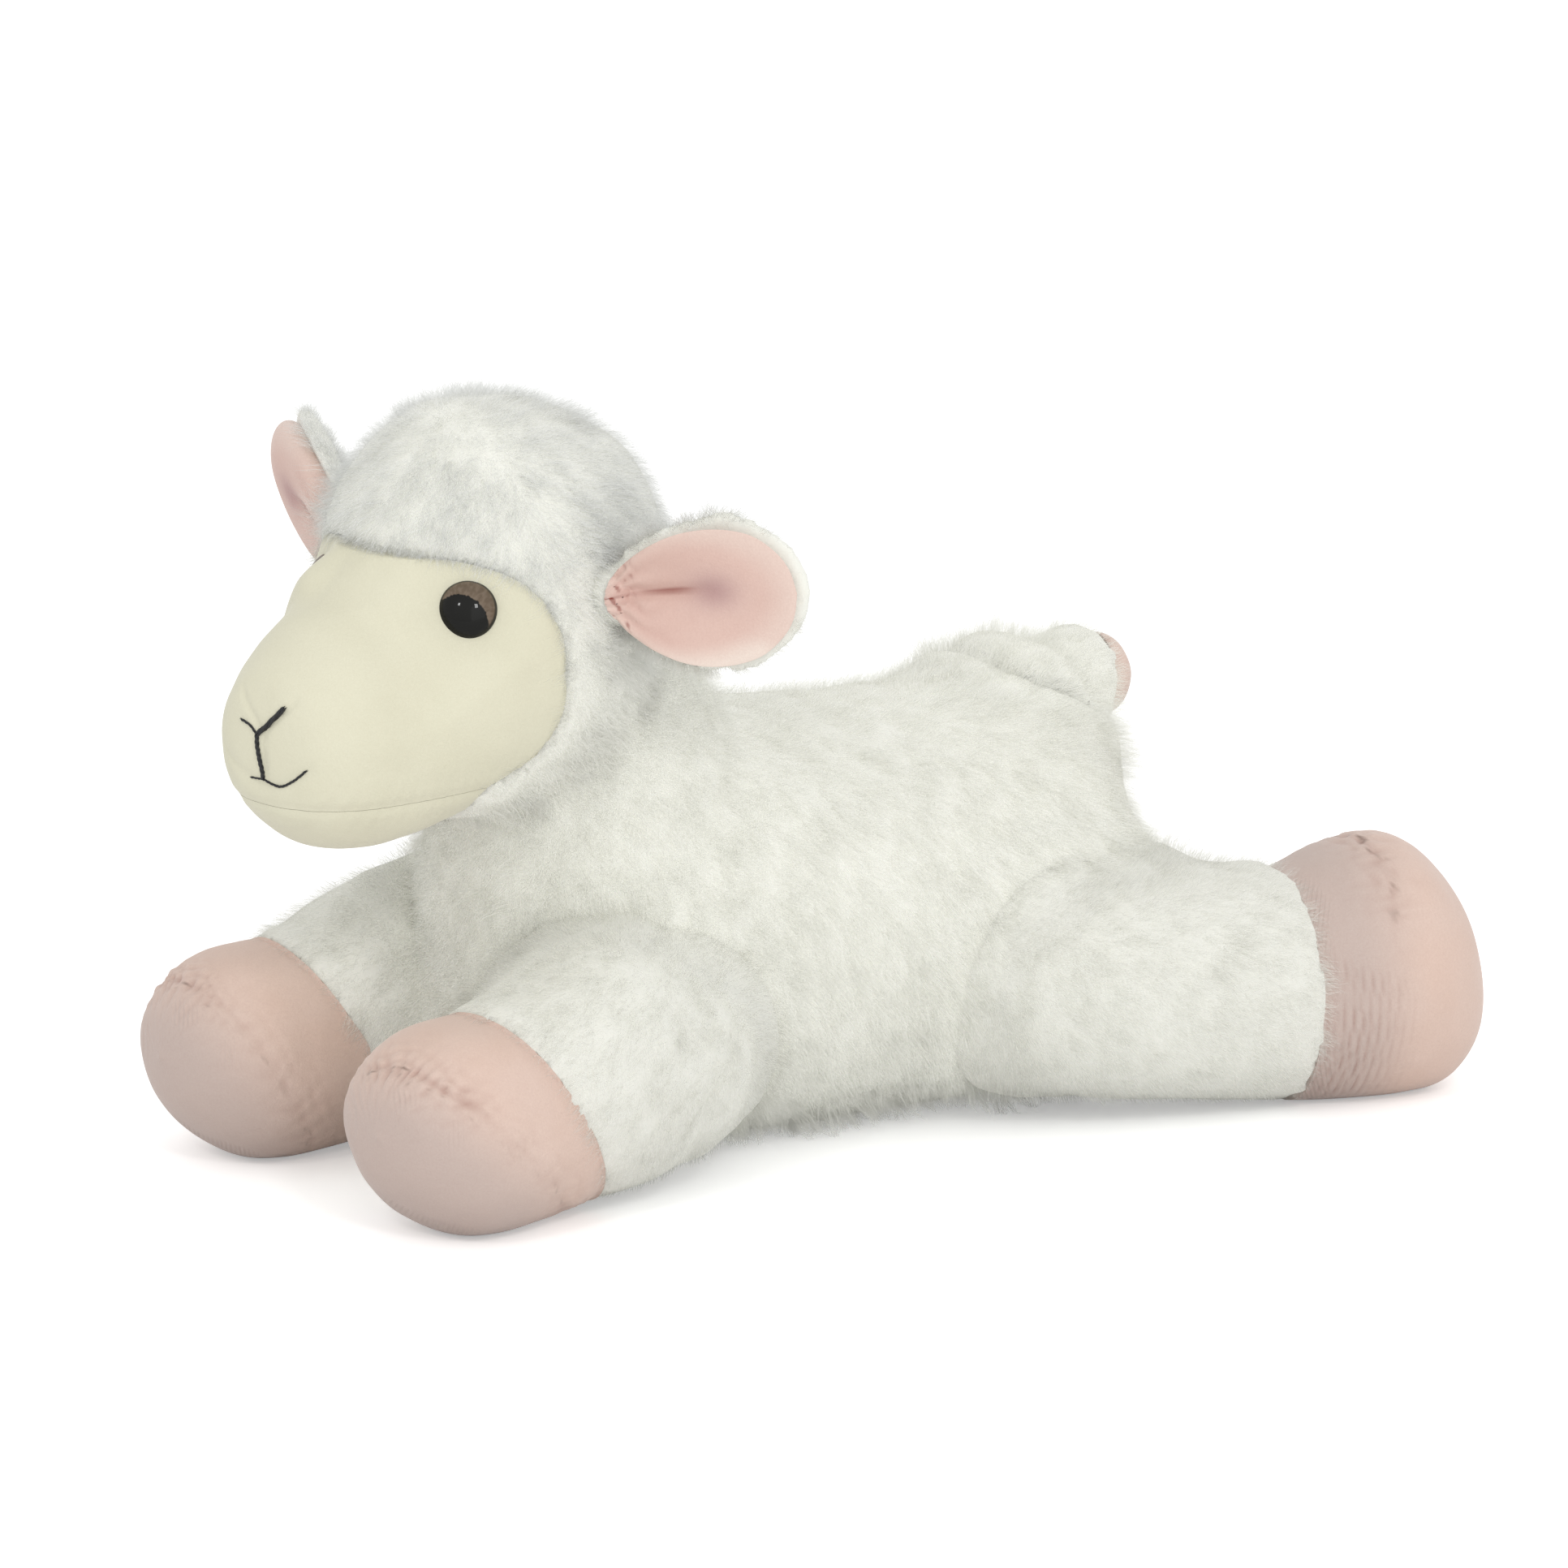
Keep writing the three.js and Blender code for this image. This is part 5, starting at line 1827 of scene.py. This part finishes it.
    def swell(self, back: Piece) -> None:
        """Swells the back to the dense part of its pile, fullest along its upper edge."""
        places, normals = read(back)
        spot, turn = self.spots(places, normals)
        rim = bell(turn[:, 1] * self.side.value + 0.35, 0.45) * (1 - eased(spot[:, 0], 22, 29))
        thick = 2.2 * rim * np.maximum(eased(spot[:, 2], 1, 6), 0.7 * eased(-spot[:, 2], 1, 6))
        thick = softened(back, thick, 6) * (1 + 0.25 * waves(places, 8, 46))
        write(back, places + normals * thick[:, None])


@dataclass(frozen=True)
class Gathers:
    """How a hoof's velour is gathered.

    Attributes:
        seam: The depth of the seam between its panels, in millimetres, as the next six are.
        folds: The height of the folds across that seam.
        cross: The height of the small folds along it.
        start: The depth of the seam where the sleeve ends.
        swell: How far the stuffing rises and falls.
        grain: How far the velour does.
        arcs: The height of the arcs that a rear hoof has near its sleeve.
        seam_shade: The painted shade in the seam's valley, from 0 to 1, and so on for the next four.
    """

    seam: float = 0.2
    folds: float = 0.28
    cross: float = 0.12
    start: float = 0.4
    swell: float = 0.2
    grain: float = 0.035
    arcs: float = 0.2
    seam_shade: float = 0.2
    fold_shade: float = 0.36
    cross_shade: float = 0.16
    start_shade: float = 0.1
    arc_shade: float = 0.45


@dataclass
class Leg:
    """A stuffed leg that lies flat: a wool sleeve and a smooth hoof of two panels."""

    finishes: Finishes
    front: bool
    side: Side
    gathers: Gathers = Gathers()
    tufts: int = 3000
    strands: int = 7
    front_rows: tuple = (
        (0, 0, 0.5, 0.5, 0), (0.032, 0.45, 0.72, 0.25, 0), (0.129, 0.75, 0.92, 0.09, 0),
        (0.29, 0.86, 1, 0.06, 0), (0.452, 0.91, 0.93, 0.03, 0), (0.565, 0.9, 0.83, 0.01, 0),
        (0.694, 0.97, 0.81, 0, 0), (0.806, 0.99, 0.785, 0.03, 0), (0.9, 0.84, 0.715, 0.13, 0),
        (0.968, 0.5, 0.6, 0.265, 0), (1, 0, 0.43, 0.43, 0),
    )
    rear_rows: tuple = (
        (0, 0, 0.5, 0.5, 0), (0.037, 0.5, 0.71, 0.25, 0), (0.125, 0.79, 0.87, 0.13, 0),
        (0.3, 0.95, 0.905, 0.09, 0), (0.475, 0.95, 0.88, 0.045, 0), (0.6, 0.92, 0.88, 0.012, 0),
        (0.712, 1, 0.95, 0, 0), (0.825, 1, 0.965, 0, 0), (0.912, 0.83, 0.835, 0.03, 0),
        (0.975, 0.5, 0.62, 0.17, 0), (1, 0, 0.42, 0.42, 0),
    )

    @property
    def prefix(self) -> str:
        """front or rear, as the solids' names start."""
        return "front" if self.front else "rear"

    @property
    def body(self) -> str:
        """The body that the leg rides on."""
        return f"{self.prefix}_leg_{self.side.word}"

    @property
    def place(self) -> Matrix:
        """The leg's frame in the lamb's."""
        sign = self.side.value
        if self.front:
            return frame_at(-45, sign * 25, 0, 180 - sign * 5)
        return frame_at(30, sign * 27, 0, sign * (36 if self.side is Side.RIGHT else 12))

    @property
    def seam(self) -> tuple[float, float, float]:
        """Where the hoof starts: its distance from the hip, how far its plane leans and the hip's height."""
        return (23.0, math.radians(30), 20.5) if self.front else (37.0, 0.0, 21.5)

    def past_seam(self, local: Array) -> Array:
        """How far places in the leg's own frame are past the hoof's seam, in millimetres."""
        distance, lean, height = self.seam
        return local[:, 0] * math.cos(lean) - (local[:, 2] - height) * math.sin(lean) - distance

    def form(self) -> StuffedForm:
        """The whole leg's form."""
        if self.front:
            return StuffedForm(start=-8, length=62, half_width=17.5, base=-0.5, height=41.5,
                               rows=self.front_rows)
        return StuffedForm(start=-10, length=80, half_width=19, base=-0.5, height=42, rows=self.rear_rows)

    def sole_distance(self, places: Array) -> Array:
        """The signed distance past the seam between the hoof's two panels, in millimetres."""
        if self.front:
            lean, distance = (46.5, 14.9) if self.side is Side.LEFT else (31.4, 27.2)
        else:
            lean, distance = 3.0, 48.5
        turn = math.radians(lean)
        bend = 0.7 * waves(places, 30, 17)
        return places[:, 0] * math.cos(turn) - places[:, 2] * math.sin(turn) - distance + bend

    def build(self) -> Piece:
        """Builds the hoof and the sleeve, and returns the sleeve."""
        prefix, word = self.prefix, self.side.word
        names = [f"{prefix}_leg_sleeve_{word}", f"{prefix}_leg_stuffing_{word}"]
        hoof = self.hoof()
        dress(hoof, self.finishes.pink, self.body, "pink_velour", f"{prefix}_hoof_{word}", fill=0.9)
        sleeve = stuffed(f"{prefix}_leg_bag_{word}", names, voxel=1.3, cap=0.5)
        self.draw_in(sleeve)
        return dress(sleeve, self.finishes.leg_backing, self.body, "wool_pile", *names, fill=0.85)

    def draw_in(self, sleeve: Piece) -> None:
        """Draws the part of the bag that is inside the hoof in, so that only the hoof shows there."""
        places, normals = read(sleeve)
        past = self.past_seam(within(places, self.place))
        write(sleeve, places - normals * (2.2 * eased(past, -0.3, 1.2))[:, None])

    def hoof(self) -> Piece:
        """Builds the hoof: its form, cut at its seam and on the ground, with gathers along its panels' seam.

        Returns:
            The hoof, in the lamb's frame.
        """
        piece = sewn(f"{self.prefix}_hoof_velour_{self.side.word}", self.form(), sides=132, rings=176)
        distance, lean, height = self.seam
        way = (-math.cos(lean), 0, math.sin(lean))
        cut(piece, (-way[0] * (distance + 0.1), 0, height - way[2] * (distance + 0.1)), way)
        cut(piece, (0, 0, 0), (0, 0, -1))
        places, normals = read(piece)
        off, past = self.sole_distance(places), self.past_seam(places)
        turn = np.arctan2(places[:, 2] - 16, places[:, 1]) + (0 if self.front else 0.6)
        rough = waves(places, 7, 11 + self.side.value)
        strong = self.gathered(places)
        fold = np.sin(turn * 34 + 2.6 * rough + 0.9 * off) * np.exp(-np.abs(off + 0.6) / 2.6) * strong
        fold += 0.5 * np.sin(turn * 19 - 1.8 * rough - 0.7 * off) * np.exp(-np.abs(off - 1.2) / 3.4) * strong
        cross = np.sin(off * 2.6 + 1.8 * rough) * np.exp(-((off + 1.5) / 3.5) ** 2) * strong
        start = np.exp(-np.abs(past) / 2.0)
        arcs = np.sin(past * 4.6 + 1.2 * rough) * (0 if self.front else 1) * bell(past - 6, 7)
        arcs *= 1 - eased(places[:, 2] + 3 * rough, 16, 27)
        held = eased(places[:, 2], 0.4, 3.5)
        deep = self.gathers
        relief = -deep.seam * bell(off, 0.7) * strong + deep.folds * fold + deep.cross * cross
        relief -= deep.start * start
        relief += deep.swell * waves(places, 15, 6) + deep.grain * rough
        relief += deep.arcs * arcs
        write(piece, places + normals * (relief * held * eased(past, 0.15, 0.3))[:, None])
        # Painted shade in the seam's valley, in the folds' hollows, where the sleeve starts and in the arcs'
        # hollows.
        valley = deep.seam_shade * bell(off, 0.6) * strong + deep.fold_shade * np.maximum(-fold, 0)
        valley += deep.cross_shade * np.maximum(-cross, 0)
        valley += deep.start_shade * start
        valley += deep.arc_shade * np.maximum(-arcs, 0)
        line = self.seam_line(places, off, np.maximum(np.sin(turn * 33 + 3 * rough), 0) ** 4) * strong
        sole = eased(off, -4.0, 9.0) if self.front else 1 - eased(off, -7.0, 6.0)
        keep_layer(piece, "gather", np.stack([np.clip(valley, 0, 1) * held, sole, line * held], axis=1))
        ribs = eased(off, 1, 5) if self.front else 1 - eased(off, -4, 0)
        ribs = eased(waves(places, 13, 23), 0.1, 1.0) * ribs
        keep_layer(piece, "weave", np.stack([(places[:, 0] - 0.6 * places[:, 1]) * 7.5, ribs, off], axis=1))
        moved(piece, self.place)
        return closed(piece, 55)

    def gathered(self, places: Array) -> Array:
        """How strongly the panels' seam is gathered, which differs from place to place."""
        strong = 0.35 + 0.65 * eased(waves(places, 26, 19 + self.side.value), -0.4, 0.8)
        return strong * (1 if self.front else 0.3 + 1.1 * eased(places[:, 2], 27, 34))

    def seam_line(self, places: Array, off: Array, dots: Array) -> Array:
        """The dark broken line of the panels' seam.

        Args:
            places: The hoof's places.
            off: How far each is past the seam.
            dots: Where the dots of the needle's holes are, beside the line.

        Returns:
            How dark each place is, from 0 to 1.
        """
        top = 0 if self.front else 1.2 * eased(places[:, 2], 30, 35)
        strokes = eased(waves(places, 4, 14) + top, 0.35, 0.9)
        wander = off + 0.7 * waves(places, 4, 15)
        return 0.75 * bell(wander, 0.16) * strokes + 0.3 * bell(wander - 1.1, 0.25) * dots

    def comb(self, places: Array) -> Array:
        """The pile runs down the leg towards the hoof, and hangs."""
        way = np.array(self.place.to_3x3() @ Vector((1, 0, 0))) + np.array([0, 0, -0.55])
        return np.tile(way, (len(places), 1))

    def cover(self, places: Array, facing: Array) -> Array:
        """The pile's depth, as a share: full up to the hoof."""
        past = self.past_seam(within(places, self.place)) + 0.9 * np.clip(waves(places, 5, 57), -1, 1)
        short = 1 - eased(past, -0.2, 0.6)
        return short * (1 - 0.25 * eased(past, -8, 0)) * under(places, facing)

    def grow(self, sleeve: Piece, openness: Measure) -> None:
        """Grows the sleeve's pile up to the hoof's seam."""
        tufts = int(self.tufts * (1.0 if self.front else 1.25))
        fleece = Fleece(f"{self.prefix}_leg_pile_{self.side.word}", tufts, self.strands, length=3.8, lean=58,
                        comb=self.comb, seed=51 + self.side.value + 4 * self.front)
        pile = fleece.grow(sleeve, lambda p, n: self.cover(p, n) * openness(p, n))
        dress(pile, self.finishes.leg_pile, self.body, "wool_pile")


@dataclass
class Tail:
    """A stubby wool tail with a pink end. Its seam runs from its lowest to its highest point."""

    finishes: Finishes
    place: Matrix = field(
        default_factory=lambda: frame_at(42, 0, 59) @ frame_at(0, 0, 0, 0, 0, 90) @ frame_at(0, 0, 0, 14),
    )
    rows: tuple = (
        (0, 0, 0, 0), (0.05, 0.6, 0.66, 0), (0.25, 0.94, 0.96, 0), (0.5, 1, 1, 0), (0.75, 0.92, 0.9, 0),
        (0.92, 0.58, 0.58, 0), (1, 0, 0, 0),
    )
    seam: tuple[tuple[float, float], tuple[float, float]] = ((6.8, -7.2), (14.4, 3.6))
    tufts: int = 820
    strands: int = 7

    def build(self) -> Piece:
        """Builds the pink end and the wool bag, and returns the bag."""
        form = LeafForm(start=0, length=20, half_width=8, half_thickness=7.2, curl=0, front=1, ahead=0,
                        rows=self.rows)
        end = sewn("tail_velour_end", form, sides=72, rings=72)
        self.cut_end(end)
        places, normals = read(end)
        past = self.seam_distance(places)
        near = np.abs(past)
        relief = -0.4 * bell(near, 0.8) + 0.08 * waves(places, 6, 16)
        relief *= eased(past, 0.05, 0.3)
        write(end, places + normals * relief[:, None])
        # Painted shade in the seam's valley, and a dark line along the seam itself.
        marks = np.stack([0.6 * bell(near, 0.7), np.zeros(len(near)), 0.5 * bell(near, 0.3)], axis=1)
        keep_layer(end, "gather", marks)
        moved(end, self.place)
        dress(closed(end, 60), self.finishes.pink, "tail", "pink_velour", "tail_lining", fill=0.9)
        bag = stuffed("tail_bag", ["tail_cover"], voxel=1.0, cap=0.0)
        return dress(bag, self.finishes.backing, "tail", "wool_pile", "tail_cover", fill=0.9)

    def seam_distance(self, places: Array) -> Array:
        """The signed distance past the slanting seam, in millimetres."""
        low, high = (np.array(mark) for mark in self.seam)
        way = (high - low) / np.linalg.norm(high - low)
        return (places[:, 0] - low[0]) * way[1] - (places[:, 1] - low[1]) * way[0]

    def cut_end(self, end: Piece) -> None:
        """Keeps only the end past the seam, a little clear of the wool."""
        clear = 0.1
        low, high = (Vector((x + clear, y, 0)) for x, y in self.seam)
        way = (high - low).normalized()
        cut(end, low, (-way.y, way.x, 0))

    def comb(self, places: Array) -> Array:
        """The pile runs out to the tail's end."""
        way = np.array(self.place.to_3x3() @ Vector((1, 0, 0))) + np.array([0, 0, -0.3])
        return np.tile(way, (len(places), 1))

    def cover(self, places: Array, facing: Array) -> Array:
        """The pile's depth, as a share: full up to the pink end."""
        past = self.seam_distance(within(places, self.place))
        return (1 - eased(past, -0.2, 0.8)) * (1 - 0.2 * eased(past, -6, 0))

    def grow(self, bag: Piece, openness: Measure) -> None:
        """Grows the tail's pile."""
        fleece = Fleece("tail_pile", self.tufts, self.strands, length=3.4, lean=55, comb=self.comb,
                        spread=1.1, seed=61)
        pile = fleece.grow(bag, lambda p, n: self.cover(p, n) * openness(p, n))
        dress(pile, self.finishes.pile, "tail", "wool_pile")


# The picture


@dataclass
class Studio:
    """A pale floor, soft lamps and the camera. Lengths are in metres and angles in degrees."""

    aim: Vector = field(default_factory=lambda: Vector((-2.5, 0, 52.7)) * MM)
    azimuth: float = -35.0
    elevation: float = 14.0
    distance: float = 4.0
    seen: float = 0.2415
    paper: float = 0.93
    glow: float = 0.34
    surround: float = 0.92

    def build(self) -> None:
        """Builds the floor, the light and the camera."""
        self.floor()
        self.world()
        self.lamp("key_lamp", place=(-0.3, -2.2, 0.55), size=1.8, power=5.5)
        self.lamp("left_glint_lamp", place=(-1.0, -0.6, 0.9), size=0.12, power=1.4)
        self.lamp("right_glint_lamp", place=(-0.4, -1.2, 0.9), size=0.2, power=3.0)
        self.camera()

    def floor(self) -> None:
        """A wide pale floor."""
        bpy.ops.object.select_all(action="DESELECT")
        bpy.ops.mesh.primitive_plane_add(size=30)
        piece = renamed("studio_floor")
        write(piece, read(piece)[0] - [0, 0, 0.02])
        paint = Paint("floor_paper")
        seen = paint.value("ShaderNodeLightPath", {}, {}, "Is Camera Ray")
        piece.data.materials.append(paint.finish(
            Base_Color=(self.paper, self.paper, self.paper), Roughness=0.95, Specular_IOR_Level=0.0,
            Emission_Color=(1, 1, 1), Emission_Strength=seen * self.glow,
        ))

    def world(self) -> None:
        """An even surround, seen as white."""
        world = bpy.data.worlds.new("studio_light")
        bpy.context.scene.world = world
        world.use_nodes = True
        nodes = Nodes(world.node_tree)
        sky = nodes.tree.nodes["Background"]
        rays = nodes.node("ShaderNodeLightPath").outputs
        seen = Value(nodes, rays["Is Camera Ray"]).math("MAXIMUM", Value(nodes, rays["Is Glossy Ray"]))
        level = nodes.value("ShaderNodeMapRange", {}, {"Value": seen, "To Min": self.surround, "To Max": 1.0})
        nodes.join((1, 1, 1), sky.inputs["Color"])
        nodes.join(level, sky.inputs["Strength"])

    def lamp(self, name: str, place: tuple, size: float, power: float) -> None:
        """A square lamp that faces the lamb.

        Args:
            name: The lamp's name.
            place: Its place, in metres.
            size: Its side, in metres.
            power: Its power, in watts.
        """
        light = bpy.data.lights.new(name, "AREA")
        light.size, light.energy = size, power
        lamp = bpy.data.objects.new(name, light)
        lamp.location = place
        lamp.rotation_euler = (self.aim - Vector(place)).to_track_quat("-Z", "Y").to_euler()
        bpy.context.scene.collection.objects.link(lamp)

    def camera(self) -> None:
        """A long lens from the photograph's side."""
        turn, rise = math.radians(self.azimuth), math.radians(self.elevation)
        back = Vector((math.sin(turn) * math.cos(rise), -math.cos(turn) * math.cos(rise), math.sin(rise)))
        data = bpy.data.cameras.new("camera")
        data.sensor_width = 36
        data.lens = data.sensor_width * self.distance / self.seen
        data.clip_start, data.clip_end = 0.1, 60
        camera = bpy.data.objects.new("camera", data)
        camera.location = self.aim + back * self.distance
        camera.rotation_euler = (-back).to_track_quat("-Z", "Y").to_euler()
        bpy.context.scene.collection.objects.link(camera)
        bpy.context.scene.camera = camera
        bpy.context.scene.view_settings.view_transform = "Standard"


def main() -> None:
    """Builds the studio and the lamb."""
    logging.basicConfig(level=logging.INFO, format="%(message)s")
    Studio().build()
    finishes = Finishes()
    torso, head, tail = Torso(finishes), Head(finishes), Tail(finishes)
    legs = [Leg(finishes, front, side) for front in (True, False) for side in Side]
    ears = [Ear(finishes, head, side) for side in Side]
    body_bag, hood, tail_bag = torso.build(), head.build(), tail.build()
    sleeves = [leg.build() for leg in legs]
    backs = [ear.build() for ear in ears]
    pairs = [(torso, body_bag), (head, hood), (tail, tail_bag), *zip(legs, sleeves)]

    bare, pressed = 1.0, 0.8
    trees = {bag.name: surface(bag) for _, bag in pairs}
    for number, (part, bag) in enumerate(pairs):
        others = [tree for name, tree in trees.items() if name != bag.name]
        free = bare_near(others, bare)
        PileMass().swell(bag, lambda p, n, part=part, free=free: part.cover(p, n) * free(p, n), others,
                         seed=70 + number)
    trees = {bag.name: surface(bag) for _, bag in pairs}
    for part, bag in pairs:
        hidden = {bag.name, tail_bag.name} if part is torso else {bag.name}
        others = [tree for name, tree in trees.items() if name not in hidden]
        part.grow(bag, bare_near(others, pressed))
    for ear, back in zip(ears, backs):
        ear.grow(back)
    for side in Side:
        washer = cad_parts[f"eye_washer_{side.word}"]
        for place in washer.material_slots:
            place.material = finishes.washer


if __name__ == "__main__":
    main()
